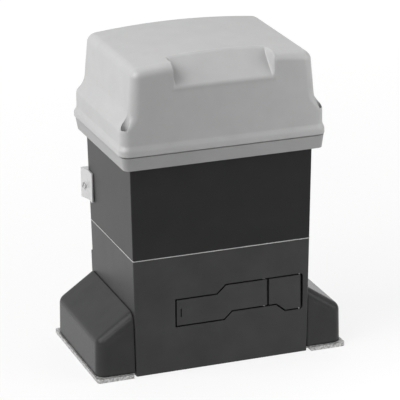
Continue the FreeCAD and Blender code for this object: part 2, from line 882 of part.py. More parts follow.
# Release lever: hollow-backed arm, hinge barrel at its right end and the spiral cam behind it
def release_lever():
    arm = release_plate(lever_thick).common(box(-far, lever_axis_x, -far, 0, 0, far))
    backing = release_prism(-half_gap - lever_wall - 1.5, -far, 0)
    deep = drafted_block(0, gasket_low, lever_wall)
    scoop = backing.common(deep).common(box(-far, lever_axis_x - 9, -far, 0, 0, far))
    arm = arm.cut(scoop)
    low = arm_high_bottom + half_gap
    high = arm_high_top - half_gap
    barrel = rod_z(lever_barrel_radius, lever_axis_x, lever_axis_y, low, high)
    cam = spiral_cam().extrude(vec(0, 0, lever_cam_height))
    cam.translate(vec(lever_axis_x, lever_axis_y, lock_z - lever_cam_height / 2))
    lever = arm.fuse(barrel).fuse(cam)
    finger_slot = box(
        release_left + 5,
        release_left + 6.2,
        -far,
        lever_axis_y - lever_wall + 0.6,
        arm_low_bottom + 10,
        arm_low_bottom + 19,
    )
    lever = lever.cut(finger_slot)
    bore = rod_z(lever_pin_radius + run_clearance, lever_axis_x, lever_axis_y, 0, far)
    return lever.cut(bore).removeSplitter()


# Cam outline whose radius grows evenly by the release travel over a quarter turn
def spiral_cam():
    steps = 6
    points = []
    for index in range(steps + 1):
        share = index / steps
        radius = lever_barrel_radius - 0.3 + (release_travel + 0.2) * share
        angle = math.radians(90 - 90 * share)
        points.append(vec(radius * math.cos(angle), radius * math.sin(angle), 0))
    curve = Part.BSplineCurve()
    curve.interpolate(points)
    edges = [
        curve.toShape(),
        Part.LineSegment(points[-1], vec(0, 0, 0)).toShape(),
        Part.LineSegment(vec(0, 0, 0), points[0]).toShape(),
    ]
    return Part.Face(Part.Wire(edges))


def lever_pin():
    return rod_z(lever_pin_radius, lever_axis_x, lever_axis_y, arm_high_bottom - 7, arm_high_top + 6)


# Small flap over the lock, hinged at its right edge
def lock_flap():
    left = arm_end + split_half_gap
    low = arm_low_bottom + half_gap
    high = arm_high_top - half_gap
    plate = release_plate(flap_thick).common(box(left, flap_axis_x, -far, 0, 0, high))
    barrel = rod_z(flap_barrel_radius, flap_axis_x, flap_axis_y(), low, high)
    flap = plate.fuse(barrel)
    return flap.cut(rod_z(flap_pin_radius + run_clearance, flap_axis_x, flap_axis_y(), 0, far))


def flap_pin():
    return rod_z(flap_pin_radius, flap_axis_x, flap_axis_y(), arm_low_bottom - 5, arm_high_top + 5)


# Fixed collar round the lock barrel at the bottom of the recess
def lock_ring():
    front = pocket_back - 6.0
    return ring_y(lock_radius + lock_collar, lock_radius + run_clearance, lock_x, lock_z, front, pocket_back)


# Key barrel with its slot, and the tongue on its inner end
def lock_barrel():
    front = pocket_back - 5.4
    inner = pocket_back + pocket_wall + 0.4
    barrel = rod_y(lock_radius, lock_x, lock_z, front, inner + 3)
    barrel = barrel.cut(box(lock_x - 0.9, lock_x + 0.9, front - 1, front + 6, lock_z - 4.5, lock_z + 4.5))
    tongue = box(lock_x - lock_tongue, lock_x + 5, inner, inner + 3, lock_z - 5, lock_z + 5)
    return barrel.fuse(tongue).removeSplitter()


# Release rod that the cam pushes inward, with the fork that shifts the clutch collar
def release_fork():
    fork_y = groove_y + (groove_width - fork_thick) / 2
    rod = rod_y(rod_radius, lever_axis_x, lock_z, rod_front_y, fork_y + fork_thick)
    outer = collar_radius + 5
    notch = collar_radius - groove_depth + 0.4
    plate = rod_y(outer, 0, shaft_height, fork_y, fork_y + fork_thick)
    rise = 7.0
    neck = polygon([
        vec(0, fork_y, shaft_height - outer + 3),
        vec(lever_axis_x, fork_y, lock_z - rise),
        vec(lever_axis_x, fork_y, lock_z + rise),
        vec(0, fork_y, shaft_height + outer - 6),
    ]).extrude(vec(0, fork_thick, 0))
    eye = rod_y(rise, lever_axis_x, lock_z, fork_y, fork_y + fork_thick)
    plate = plate.fuse(neck).fuse(eye)
    front = fork_y - 1
    back = fork_y + fork_thick + 1
    plate = plate.cut(rod_y(notch, 0, shaft_height, front, back))
    plate = plate.cut(box(-far, -2, front, back, 0, far))
    plate = plate.cut(box(-far, 0, front, back, shaft_height - notch, shaft_height + notch))
    return rod.fuse(plate).removeSplitter()


# Four dogs, or the slots that take them, round the shaft axis
def dogs(width, inner, outer, y0, y1):
    pieces = []
    for index in range(dog_count):
        dog = box(inner, outer, y0, y1, shaft_height - width / 2, shaft_height + width / 2)
        dog.rotate(vec(0, 0, shaft_height), vec(0, 1, 0), 360 / dog_count * index + 45)
        pieces.append(dog)
    return pieces


# Sliding collar: dogs toward the worm wheel, groove for the fork, keyway for the shaft
def clutch_collar():
    collar = ring_y(
        collar_radius, shaft_radius + run_clearance, 0, shaft_height, collar_y, collar_y + collar_length
    )
    groove = ring_y(
        collar_radius + 1, collar_radius - groove_depth, 0, shaft_height, groove_y, groove_y + groove_width
    )
    collar = collar.cut(groove)
    dog_outer = collar_radius - 1
    collar = collar.fuse(dogs(dog_width, shaft_radius + 2, dog_outer, collar_y - dog_height, collar_y + 1))
    keyway = box(
        -key_width / 2 - 0.1,
        key_width / 2 + 0.1,
        collar_y - 10,
        collar_y + collar_length + 1,
        shaft_height,
        shaft_height + shaft_radius + 3.3,
    )
    collar = collar.cut(keyway)
    bore = rod_y(shaft_radius + run_clearance, 0, shaft_height, collar_y - 10, collar_y + 30)
    return collar.cut(bore).removeSplitter()


# Worm wheel with slanted teeth and a slotted hub for the dogs
def worm_wheel():
    pitch_radius = worm_module * wheel_teeth / 2
    tip = pitch_radius + worm_addendum
    root = pitch_radius - worm_dedendum
    blank = rod_y(root, 0, shaft_height, wheel_y - wheel_width / 2, wheel_y + wheel_width / 2)
    flank = math.tan(math.radians(pressure_angle))
    half_pitch = math.pi * worm_module / 4 - tooth_slack / 2
    root_half = half_pitch + worm_dedendum * flank
    tip_half = half_pitch - worm_addendum * flank
    slant = math.degrees(wheel_width / pitch_radius * worm_module / (2 * worm_pitch_radius))
    teeth = []
    for index in range(wheel_teeth):
        turn = 360 / wheel_teeth * index
        wires = []
        for end in (-0.5, 0.5):
            points = [
                vec(-root_half, wheel_y + end * wheel_width, shaft_height + root - 0.6),
                vec(root_half, wheel_y + end * wheel_width, shaft_height + root - 0.6),
                vec(tip_half, wheel_y + end * wheel_width, shaft_height + tip),
                vec(-tip_half, wheel_y + end * wheel_width, shaft_height + tip),
            ]
            wire = Part.makePolygon(points + points[:1])
            wire.rotate(vec(0, 0, shaft_height), vec(0, 1, 0), turn + slant * end)
            wires.append(wire)
        teeth.append(Part.makeLoft(wires, True, True))
    wheel = blank.fuse(teeth)
    hub = rod_y(hub_radius, 0, shaft_height, hub_y - 1, hub_y + dog_height + 0.6)
    slots = dogs(
        dog_width + 2 * dog_clearance, shaft_radius, hub_radius + 1, hub_y + 0.3, hub_y + dog_height + 1
    )
    wheel = wheel.fuse(hub)
    for slot in slots:
        wheel = wheel.cut(slot)
    keyway_top = shaft_height + shaft_radius + 3
    keyway = box(-key_width / 2, key_width / 2, wheel_y - 20, wheel_y + 30, shaft_height, keyway_top)
    wheel = wheel.cut(rod_y(shaft_radius, 0, shaft_height, wheel_y - 20, wheel_y + 30)).cut(keyway)
    return wheel


# Output shaft from the front bearing to the pinion
def output_shaft():
    front_end = front_bearing_y + 0.5
    front_shoulder = front_bearing_y + front_bearing_width
    shaft = rod_y(front_journal_radius, 0, shaft_height, front_end, front_shoulder + 1)
    shaft = shaft.fuse(rod_y(shaft_radius, 0, shaft_height, front_shoulder + 0.5, pinion_y - 0.2))
    shaft = shaft.fuse(rod_y(pinion_seat_radius, 0, shaft_height, pinion_y - 1, shaft_end_y))
    shaft = shaft.cut(
        box(
            -key_width / 2,
            key_width / 2,
            wheel_y - wheel_width / 2,
            collar_y + collar_length + release_travel,
            shaft_height + shaft_radius - 3,
            shaft_height + shaft_radius + 1,
        )
    )
    shaft = shaft.cut(rod_y(3.0, 0, shaft_height, shaft_end_y - 18, shaft_end_y + 1))
    return shaft.removeSplitter()


# Feather key that the worm wheel and the clutch collar sit on
def shaft_key():
    return box(
        -key_width / 2,
        key_width / 2,
        wheel_y - wheel_width / 2,
        collar_y + collar_length + release_travel,
        shaft_height + shaft_radius - 3,
        shaft_height + shaft_radius + 2.9,
    )


# Point on an involute of a base circle at a radius, as an angle from where the curve starts
def involute_angle(base, radius):
    if radius <= base:
        return 0.0
    lean = math.acos(base / radius)
    return math.tan(lean) - lean


# Spur pinion that drives the rack: involute flanks as arcs through three points
def pinion():
    pitch = pinion_module * pinion_teeth / 2
    tip = pitch + pinion_module
    root = pitch - 1.2 * pinion_module
    base = pitch * math.cos(math.radians(pressure_angle))
    half_tooth = math.pi / (2 * pinion_teeth) - 0.003 + involute_angle(base, pitch)

    def place(radius, angle):
        return vec(radius * math.sin(angle), radius * math.cos(angle), 0)

    edges = []
    step = 2 * math.pi / pinion_teeth
    middle = (root + tip) / 2
    for index in range(pinion_teeth):
        centre = index * step
        left = [place(r, centre - half_tooth + involute_angle(base, r)) for r in (root, middle, tip)]
        right = [place(r, centre + half_tooth - involute_angle(base, r)) for r in (tip, middle, root)]
        following = place(root, centre + step - half_tooth)
        edges.append(Part.Arc(left[0], left[1], left[2]).toShape())
        edges.append(Part.LineSegment(left[2], right[0]).toShape())
        edges.append(Part.Arc(right[0], right[1], right[2]).toShape())
        edges.append(Part.LineSegment(right[2], following).toShape())
    gear = Part.Face(Part.Wire(edges)).extrude(vec(0, 0, pinion_width))
    gear = place_along_y(gear, 0, pinion_y, shaft_height)
    return gear.cut(rod_y(pinion_seat_radius, 0, shaft_height, pinion_y - 1, pinion_y + pinion_width + 1))


def pinion_washer():
    low = pinion_y + pinion_width
    return ring_y(end_washer_radius, 3.0, 0, shaft_height, low, low + end_washer_thick)


def pinion_screw():
    low = pinion_y + pinion_width + end_washer_thick
    head = hexagon(end_screw_across, end_screw_head, vec(0, low, shaft_height), vec(0, 1, 0))
    shank = rod_y(3.0, 0, shaft_height, shaft_end_y - 16, low + 1)
    return head.fuse(shank).removeSplitter()


# Ball bearings of the output shaft
def shaft_bearings():
    front = bearing(front_bearing_outer, front_journal_radius + run_clearance, front_bearing_width)
    rear = bearing(rear_bearing_outer, shaft_radius + run_clearance, rear_bearing_width)
    front = place_along_y(front, 0, front_bearing_y, shaft_height)
    rear = place_along_y(rear, 0, rear_bearing_y, shaft_height)
    return Part.makeCompound([front, rear])


def end_flange_screw_places():
    radius = end_flange_pcd / 2
    angles = [math.radians(45 + 90 * index) for index in range(4)]
    return [(radius * math.cos(angle), shaft_height + radius * math.sin(angle)) for angle in angles]


# Flange that holds the rear bearing and the shaft seal
def end_flange():
    back = facing_y + end_flange_thick
    spigot_front = rear_bearing_y + rear_bearing_width
    flange = rod_y(end_flange_radius, 0, shaft_height, facing_y, back)
    flange = flange.fuse(rod_y(rear_bearing_outer, 0, shaft_height, spigot_front, facing_y))
    flange = flange.cut(rod_y(shaft_radius + 3, 0, shaft_height, 0, far))
    flange = flange.cut(rod_y(seal_outer, 0, shaft_height, back - shaft_seal_width, far))
    for x, z in end_flange_screw_places():
        flange = flange.cut(rod_y(2.5, x, z, facing_y - 1, back + 1))
    return flange


def shaft_seal():
    back = facing_y + end_flange_thick
    return ring_y(seal_outer, shaft_radius + run_clearance, 0, shaft_height, back - shaft_seal_width, back)


def end_flange_screws():
    back = facing_y + end_flange_thick
    screws = []
    for x, z in end_flange_screw_places():
        head = hexagon(8.0, 3.6, vec(x, back, z), vec(0, 1, 0))
        screws.append(head.fuse(rod_y(2.5, x, z, facing_y - 10, back + 1)).removeSplitter())
    return Part.makeCompound(screws)


# Motor shaft with the worm cut on it
def motor_shaft():
    top = upper_bearing_z + lower_bearing_width - 0.5
    root = worm_pitch_radius - worm_dedendum
    middle_top = middle_bearing_z + middle_bearing_width
    shaft = rod_z(end_journal_radius, worm_x, wheel_y, motor_shaft_foot + 0.5, top)
    worm_foot = shaft_height - worm_half_length - 5
    worm_head = shaft_height + worm_half_length + 5
    shaft = shaft.fuse(rod_z(root, worm_x, wheel_y, worm_foot, worm_head))
    shaft = shaft.fuse(rod_z(middle_journal_radius, worm_x, wheel_y, worm_head - 1, middle_top + 6))
    shaft = shaft.fuse(rod_z(core_shaft_radius, worm_x, wheel_y, middle_top + 1, core_high + 4))
    return shaft.fuse(worm_thread()).removeSplitter()


# One-start thread, swept along a helix round the shaft; a crest meets the wheel at the shaft height
def worm_thread():
    flank = math.tan(math.radians(pressure_angle))
    half_tooth = worm_lead / 4 - tooth_slack / 2
    root = worm_pitch_radius - worm_dedendum
    tip = worm_pitch_radius + worm_addendum
    root_half = half_tooth + (worm_dedendum + 0.5) * flank
    tip_half = half_tooth - worm_addendum * flank
    helix = Part.makeHelix(worm_lead, 2 * worm_half_length, worm_pitch_radius)
    corners = [
        vec(root - 0.5, 0, -root_half),
        vec(tip, 0, -tip_half),
        vec(tip, 0, tip_half),
        vec(root - 0.5, 0, root_half),
    ]
    profile = Part.makePolygon(corners + corners[:1])
    thread = Part.Wire(helix).makePipeShell([profile], True, True)
    thread.rotate(vec(0, 0, 0), vec(0, 0, 1), 180 * worm_turns)
    thread.translate(vec(worm_x, wheel_y, shaft_height - worm_half_length))
    return thread


def rotor_core():
    return ring_z(rotor_radius, core_shaft_radius, worm_x, wheel_y, core_low, core_high)


def stator_core():
    return ring_z(stator_radius, rotor_radius + air_gap, worm_x, wheel_y, core_low, core_high)


# End windings above and below the stator core, bevelled on the free side
def stator_windings():
    inner = rotor_radius + winding_inset
    outer = stator_radius - winding_inset
    rings = []
    for start, direction in ((core_low, -1), (core_high, 1)):
        profile = polygon([
            vec(inner, 0, 0),
            vec(outer, 0, 0),
            vec(outer, 0, direction * (winding_height - winding_bevel)),
            vec(outer - winding_bevel, 0, direction * winding_height),
            vec(inner, 0, direction * winding_height),
        ])
        ring = profile.revolve(vec(0, 0, 0), vec(0, 0, 1), 360)
        rings.append(place_along_z(ring, worm_x, wheel_y, start))
    return Part.makeCompound(rings)


# Ball bearings of the motor shaft
def motor_bearings():
    small = bearing(lower_bearing_outer, end_journal_radius + run_clearance, lower_bearing_width)
    large = bearing(middle_bearing_outer, middle_journal_radius + run_clearance, middle_bearing_width)
    return Part.makeCompound([
        place_along_z(small, worm_x, wheel_y, motor_shaft_foot),
        place_along_z(large, worm_x, wheel_y, middle_bearing_z),
        place_along_z(small, worm_x, wheel_y, upper_bearing_z),
    ])


def oil_plug_places():
    x = -body_half_width + 35.25
    return [(x, sump_floor + 20.0), (x, joint_height - 17.9)]


# Drain and level plugs in the back wall
def oil_plugs():
    plugs = []
    for x, z in oil_plug_places():
        face = back_face_at(z)
        head = hexagon(13.0, 6.0, vec(x, face + 0.2, z), vec(0, 1, 0))
        plugs.append(head.fuse(rod_y(4.0, x, z, back_at(z) - wall, face + 1)).removeSplitter())
    return Part.makeCompound(plugs)


def carrier_y():
    return back_at(sensor_high) + 1.0


# Plan outline of the sensor cover, made smaller by an inset: flanges along the body's sides, then
# faces that slant outward to the back corners
def sensor_outline(inset):
    near = sensor_near_x() - inset
    corner = sensor_back_half_width - inset
    side = [
        (near, sensor_front - (10 if inset else 0)),
        (near, sensor_fold),
        (corner, sensor_back - inset),
    ]
    return side + [(-x, y) for x, y in reversed(side)]


def sensor_near_x():
    return half_width_at(sensor_high) + sensor_gap + sensor_sheet


# Point on the slanting face of the sensor cover, moved inward, and the direction that the face looks
def on_slant(side, along, depth):
    run_x = sensor_back_half_width - sensor_near_x()
    run_y = sensor_back - sensor_fold
    length = math.hypot(run_x, run_y)
    look = vec(side * run_y / length, -run_x / length, 0)
    place = vec(side * (sensor_near_x() + run_x * along / length), sensor_fold + run_y * along / length, 0)
    return place - look * depth, look


def sensor_prism(inset, z0, z1):
    return polygon([vec(x, y, z0) for x, y in sensor_outline(inset)]).extrude(vec(0, 0, z1 - z0))


def sensor_screw_z():
    return (sensor_low + sensor_high) / 2 - 2.0


# Strip on the back of the housing, its ends turned back, that the sensor and its cover are screwed to
def sensor_carrier():
    low = sensor_low + 7
    high = sensor_high - 11
    y0 = carrier_y()
    depth = sensor_sheet + sensor_gap
    ends = []
    for side in (-1, 1):
        steps = ((3.5, 0), (11.5, 0), (11.5, 2), (3.5, 2))
        corners = [on_slant(side, along, depth + step)[0] for along, step in steps]
        ends.append(polygon(corners).extrude(vec(0, 0, high - low)))
    half = sensor_near_x() - 0.8
    strip = box(-half, half, y0, y0 + 2, 0, high - low)
    strip = strip.fuse(ends)
    strip.translate(vec(0, 0, low))
    for side in (-1, 1):
        place, look = on_slant(side, sensor_screw_along, depth)
        place.z = sensor_screw_z()
        strip = strip.cut(Part.makeCylinder(2.0, 9, place - look * 6, look))
    return strip.removeSplitter()


# Inductive limit sensor on the carrier, behind the folded cover
def limit_sensor():
    y0 = carrier_y() + 2
    y1 = sensor_back - sensor_sheet - 0.3
    body = box(-20, 20, y0, y1 - 1, sensor_low + 8, sensor_high - 6)
    body = round_edges(body, 2.0, lambda edge: edge.BoundBox.YLength > 2)
    return body.fuse(rod_y(8.0, 0, (sensor_low + sensor_high) / 2 + 1, y1 - 2, y1)).removeSplitter()


# Folded sheet cover over the sensor, reaching round both back corners of the housing
def sensor_cover():
    shell = sensor_prism(0, sensor_low, sensor_high)
    shell = round_edges(shell, 2.0, lambda edge: is_upright(edge) and edge.CenterOfMass.y > sensor_fold + 1)
    shell = shell.cut(sensor_prism(sensor_sheet, sensor_low - 1, sensor_high - sensor_sheet))
    shell = shell.cut(drafted_block(sensor_low - 20, sensor_high + 20, -sensor_gap))
    for side in (-1, 1):
        place, look = on_slant(side, sensor_screw_along, 5)
        place.z = sensor_screw_z()
        shell = shell.cut(Part.makeCylinder(2.2, 10, place, look))
    return shell.removeSplitter()


def sensor_screws():
    screws = []
    for side in (-1, 1):
        start, look = on_slant(side, sensor_screw_along, 0)
        start.z = sensor_screw_z()
        head = Part.makeCylinder(3.4, 1.8, start, look)
        slot = Part.makeBox(1.0, 9.0, 2.0, vec(-0.5, -4.5, 1.0))
        slot.Placement = FreeCAD.Placement(start, FreeCAD.Rotation(vec(0, 0, 1), look))
        shank = Part.makeCylinder(2.0, 6.0, start - look * 6, look)
        screws.append(head.cut(slot).fuse(shank).removeSplitter())
    return Part.makeCompound(screws)


# Electronics on the tray floor
board_side_margin = 27.5
board_half_x = tray_low_half_width - board_side_margin
board_front_margin = 22.3
board_front = tray_front + board_front_margin
board_back_margin = 65.4
board_back = tray_back - board_back_margin
board_thick = 1.6
standoff_height = 8.0
board_low = tray_inner_floor + standoff_height
board_top = board_low + board_thick
core_width = 58.0
core_depth = 34.0
core_height = 46.0
core_leg = 10.0
window_width = 14.0
winding_overhang = 8.0
block_pitch = 36.0
block_width = 30.0
block_depth = 12.0
block_height = 13.0
relay_size = (20.0, 16.0, 18.0)
capacitor_radius = 20.0
capacitor_length = 84.0
capacitor_back_margin = 28.4
capacitor_y = tray_back - capacitor_back_margin
capacitor_side_margin = 37.5
capacitor_left = -tray_low_half_width + capacitor_side_margin


def standoff_places():
    inset = 6.0
    places = []
    for x in (-board_half_x + inset, board_half_x - inset):
        for y in (board_front + inset, board_back - inset):
            places.append((x, y))
    return places


def control_board():
    board = box(-board_half_x, board_half_x, board_front, board_back, board_low, board_top)
    for x, y in standoff_places():
        board = board.cut(rod_z(1.5, x, y, board_low - 1, board_top + 1))
    return board


def board_standoffs():
    posts = []
    for x, y in standoff_places():
        post = hexagon(7.0, standoff_height, vec(x, y, tray_inner_floor), vec(0, 0, 1))
        posts.append(post.fuse(rod_z(1.5, x, y, board_low, board_top + 2)).removeSplitter())
    return Part.makeCompound(posts)


# Transformer: laminated core standing through its round-edged winding
def transformer():
    x0 = -board_half_x + 8.0
    x1 = x0 + core_width
    y1 = board_back - 10.0
    y0 = y1 - core_depth
    low = board_top + core_leg
    high = board_top + core_height - core_leg
    core = box(x0, x1, y0, y1, board_top, board_top + core_height)
    for x in (x0 + core_leg, x1 - core_leg - window_width):
        core = core.cut(box(x, x + window_width, y0 - 1, y1 + 1, low, high))
    gap = 0.3
    winding = box(
        x0 + core_leg + gap,
        x1 - core_leg - gap,
        y0 - winding_overhang,
        y1 + winding_overhang,
        low + gap,
        high - gap,
    )
    winding = round_edges(winding, 5.0, lambda edge: edge.BoundBox.ZLength > core_height / 3)
    return core.fuse(winding).removeSplitter()


def terminal_blocks():
    blocks = []
    y0 = board_front + 2.0
    y1 = y0 + block_depth
    step_z = board_top + block_height / 2
    for index in range(4):
        x = -board_half_x + 8.0 + block_pitch * index
        points = [
            vec(x, y0, board_top),
            vec(x, y1, board_top),
            vec(x, y1, board_top + block_height),
            vec(x, y1 - block_depth * 0.4, board_top + block_height),
            vec(x, y0 + block_depth * 0.3, step_z),
            vec(x, y0, step_z),
        ]
        block = polygon(points).extrude(vec(block_width, 0, 0))
        way = block_width / 5
        for place in range(5):
            left = x + way * place + way / 4
            mouth = box(left, left + way / 2, y0 - 1, y0 + way / 2, board_top + 1.5, step_z - 1.5)
            block = block.cut(mouth)
        blocks.append(block)
    return Part.makeCompound(blocks)


def relays():
    pieces = []
    length, depth, height = relay_size
    y0 = board_back - 40.0
    for x in (board_half_x - 72.0, board_half_x - 46.0):
        relay = box(x, x + length, y0, y0 + depth, board_top, board_top + height)
        pieces.append(round_edges(relay, 1.0, lambda edge: edge.BoundBox.ZMin > board_top + height - 0.5))
    return Part.makeCompound(pieces)


# Motor capacitor lying at the back of the tray
def capacitor():
    z = tray_inner_floor + capacitor_radius + 0.1
    start = vec(capacitor_left, capacitor_y, z)
    return Part.makeCylinder(capacitor_radius, capacitor_length, start, vec(1, 0, 0))


nodes = {
    "foundation_plate": foundation_plate,
    "mounting_studs": mounting_studs,
    "mounting_nuts": mounting_nuts,
    "gearbox_casting": gearbox_casting,
    "motor_flange": motor_flange,
    "casting_gasket": casting_gasket,
    "motor_housing": motor_housing,
    "cover_tray": cover_tray,
    "cover_seal": cover_seal,
    "cover": cover,
    "cover_screws": cover_screws,
    "foot_cover_left": lambda: foot_cover(-1),
    "foot_cover_right": lambda: foot_cover(1),
    "release_lever": release_lever,
    "lever_pin": lever_pin,
    "lock_flap": lock_flap,
    "flap_pin": flap_pin,
    "lock_ring": lock_ring,
    "lock_barrel": lock_barrel,
    "release_fork": release_fork,
    "clutch_collar": clutch_collar,
    "worm_wheel": worm_wheel,
    "output_shaft": output_shaft,
    "shaft_key": shaft_key,
    "pinion": pinion,
    "pinion_washer": pinion_washer,
    "pinion_screw": pinion_screw,
    "shaft_bearings": shaft_bearings,
    "end_flange": end_flange,
    "end_flange_screws": end_flange_screws,
    "shaft_seal": shaft_seal,
    "motor_shaft": motor_shaft,
    "rotor_core": rotor_core,
    "stator_core": stator_core,
    "stator_windings": stator_windings,
    "motor_bearings": motor_bearings,
    "oil_plugs": oil_plugs,
    "sensor_carrier": sensor_carrier,
    "limit_sensor": limit_sensor,
    "sensor_cover": sensor_cover,
    "sensor_screws": sensor_screws,
    "control_board": control_board,
    "board_standoffs": board_standoffs,
    "transformer": transformer,
    "terminal_blocks": terminal_blocks,
    "relays": relays,
    "capacitor": capacitor,
}

os.makedirs("parts", exist_ok=True)
for name, make in nodes.items():
    shape = make()
    shape.exportStep("parts/" + name + ".step")
    print(name, "solids", len(shape.Solids), "valid", shape.isValid(), "volume", round(shape.Volume))
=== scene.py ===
import bmesh
import bpy
import math
import numpy as np
from mathutils import Matrix, Vector


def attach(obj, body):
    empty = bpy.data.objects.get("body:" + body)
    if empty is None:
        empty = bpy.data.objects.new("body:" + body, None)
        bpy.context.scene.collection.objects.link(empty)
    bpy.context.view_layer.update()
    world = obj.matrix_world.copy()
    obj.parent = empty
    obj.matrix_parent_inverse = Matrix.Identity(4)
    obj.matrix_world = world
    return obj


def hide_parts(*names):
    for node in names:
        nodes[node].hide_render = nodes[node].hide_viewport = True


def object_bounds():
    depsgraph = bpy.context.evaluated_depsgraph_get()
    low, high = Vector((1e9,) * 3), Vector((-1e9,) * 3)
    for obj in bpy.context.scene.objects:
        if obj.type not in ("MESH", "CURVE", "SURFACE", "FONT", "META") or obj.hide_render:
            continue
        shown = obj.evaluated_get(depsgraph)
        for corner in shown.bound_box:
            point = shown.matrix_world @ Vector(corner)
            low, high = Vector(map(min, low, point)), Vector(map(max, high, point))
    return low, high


# Sliding gate motor: looks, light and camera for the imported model.
# The scene is in metres, X right, Y back, Z up. The pieces' dictionaries are in millimetres.

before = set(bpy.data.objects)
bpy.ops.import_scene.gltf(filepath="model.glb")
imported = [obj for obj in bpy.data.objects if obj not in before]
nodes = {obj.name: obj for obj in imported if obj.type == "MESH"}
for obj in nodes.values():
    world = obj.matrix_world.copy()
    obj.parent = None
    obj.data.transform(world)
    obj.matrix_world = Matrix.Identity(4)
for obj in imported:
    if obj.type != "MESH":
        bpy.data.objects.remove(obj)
cadBox = [list(corner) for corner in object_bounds()]
print("stage: frame loaded,", len(nodes), "nodes")


cameraSetup = {
    "place": (-0.80600, -2.22387, 0.98340),  # where the lens stands
    "yaw": 19.994,  # degrees, turned from +Y towards +X
    "pitch": -19.238,  # degrees, looking down
    "roll": -0.665,  # degrees
    "lens": 213.92,  # mm
    "film": 36.0,  # mm, width of the frame that the lens fills
    "clip": (0.05, 60.0),
}


def makeCamera(setup):
    # Viewing direction from yaw and pitch, then the right and up vectors turned by the roll
    yaw, pitch, roll = (math.radians(setup[key]) for key in ("yaw", "pitch", "roll"))
    forward = Vector((
        math.sin(yaw) * math.cos(pitch),
        math.cos(yaw) * math.cos(pitch),
        math.sin(pitch),
    ))
    level = Vector((math.cos(yaw), -math.sin(yaw), 0))
    above = level.cross(forward)
    right = level * math.cos(roll) + above * math.sin(roll)
    up = above * math.cos(roll) - level * math.sin(roll)
    data = bpy.data.cameras.new("photoCamera")
    data.lens = setup["lens"]
    data.sensor_width = setup["film"]
    data.clip_start, data.clip_end = setup["clip"]
    camera = bpy.data.objects.new("photoCamera", data)
    turn = Matrix((right, up, -forward)).transposed().to_4x4()
    camera.matrix_world = Matrix.Translation(Vector(setup["place"])) @ turn
    bpy.context.scene.collection.objects.link(camera)
    bpy.context.scene.camera = camera


makeCamera(cameraSetup)
print("stage: camera")


studio = {
    "skyFront": 0.14,  # strength of the world towards -Y and towards +Y
    "skyBack": 0.72,
    "skyTurn": (-0.2, 0.9),  # Y of the direction where the change starts and ends
    "floorSize": 14.0,
    "floorDrop": 0.0002,  # metres below the plate, so that the two share no plane
    "floorTone": 0.15,
    "floorRough": 0.9,
    "floorGlow": (0.79, 1.02),  # near and far: evens out the paper away from the lights
    "glowReach": (0.3, 2.6),  # metres from the middle
    # name, place, aim, width, height, watts, seen in gloss
    "lights": [
        ("keyPanel", (-1.90, -0.30, 1.66), (0.0, 0.0, 0.2), 1.9, 1.9, 60.0, True),
        ("topPanel", (0.6, 0.1, 2.3), (0.0, 0.0, 0.2), 1.8, 1.8, 7.0, True),
        ("frontLamp", (0.48, -0.38, 0.42), (0.10, -0.08, 0.24), 0.5, 0.5, 2.0, True),
        ("glintLamp", (-1.1, -1.5, 1.5), (-0.1, -0.08, 0.1), 0.3, 0.3, 3.5, True),
        # stands for the light that paper in front of the plate throws up
        ("lowLamp", (0.03, -0.27, 0.012), (0.03, -0.08, 0.0), 0.42, 0.02, 0.17, False),
    ],
}
white = (1.0, 1.0, 1.0, 1.0)


def setRange(node, source, target):
    # Sockets of a Map Range node: target[0] + (target[1] - target[0]) * t, where t is the share of
    # the way from source[0] to source[1]
    names = ("From Min", "From Max", "To Min", "To Max")
    for name, value in zip(names, (*source, *target)):
        node.inputs[name].default_value = value


def makeWorld(setup):
    # White world whose strength grows with the Y of the direction: dim in front, pale behind
    world = bpy.data.worlds.new("studioWorld")
    world.use_nodes = True
    tree = world.node_tree
    sky = tree.nodes["Background"]
    sky.inputs["Color"].default_value = white
    look = tree.nodes.new("ShaderNodeTexCoord")
    parts = tree.nodes.new("ShaderNodeSeparateXYZ")
    blend = tree.nodes.new("ShaderNodeMapRange")
    setRange(blend, setup["skyTurn"], (setup["skyFront"], setup["skyBack"]))
    tree.links.new(look.outputs["Generated"], parts.inputs["Vector"])
    tree.links.new(parts.outputs["Y"], blend.inputs["Value"])
    tree.links.new(blend.outputs["Result"], sky.inputs["Strength"])
    bpy.context.scene.world = world


def makeFloor(setup):
    # A square of paper under the plate, whose own glow grows with the distance from the middle
    half = setup["floorSize"] / 2
    low = cadBox[0][2] - setup["floorDrop"]
    corners = [(-half, -half, low), (half, -half, low), (half, half, low), (-half, half, low)]
    mesh = bpy.data.meshes.new("studioFloor")
    mesh.from_pydata(corners, [], [(0, 1, 2, 3)])
    floor = bpy.data.objects.new("studioFloor", mesh)
    bpy.context.scene.collection.objects.link(floor)
    paper = bpy.data.materials.new("floorPaper")
    paper.use_nodes = True
    tree = paper.node_tree
    shader = tree.nodes["Principled BSDF"]
    shader.inputs["Base Color"].default_value = (setup["floorTone"],) * 3 + (1.0,)
    shader.inputs["Roughness"].default_value = setup["floorRough"]
    shader.inputs["Emission Color"].default_value = white
    place = tree.nodes.new("ShaderNodeTexCoord")
    away = tree.nodes.new("ShaderNodeVectorMath")
    away.operation = "LENGTH"
    glow = tree.nodes.new("ShaderNodeMapRange")
    setRange(glow, setup["glowReach"], setup["floorGlow"])
    tree.links.new(place.outputs["Object"], away.inputs[0])
    tree.links.new(away.outputs["Value"], glow.inputs["Value"])
    tree.links.new(glow.outputs["Result"], shader.inputs["Emission Strength"])
    mesh.materials.append(paper)
    floor.visible_diffuse = False  # the paper throws no light up under the cover


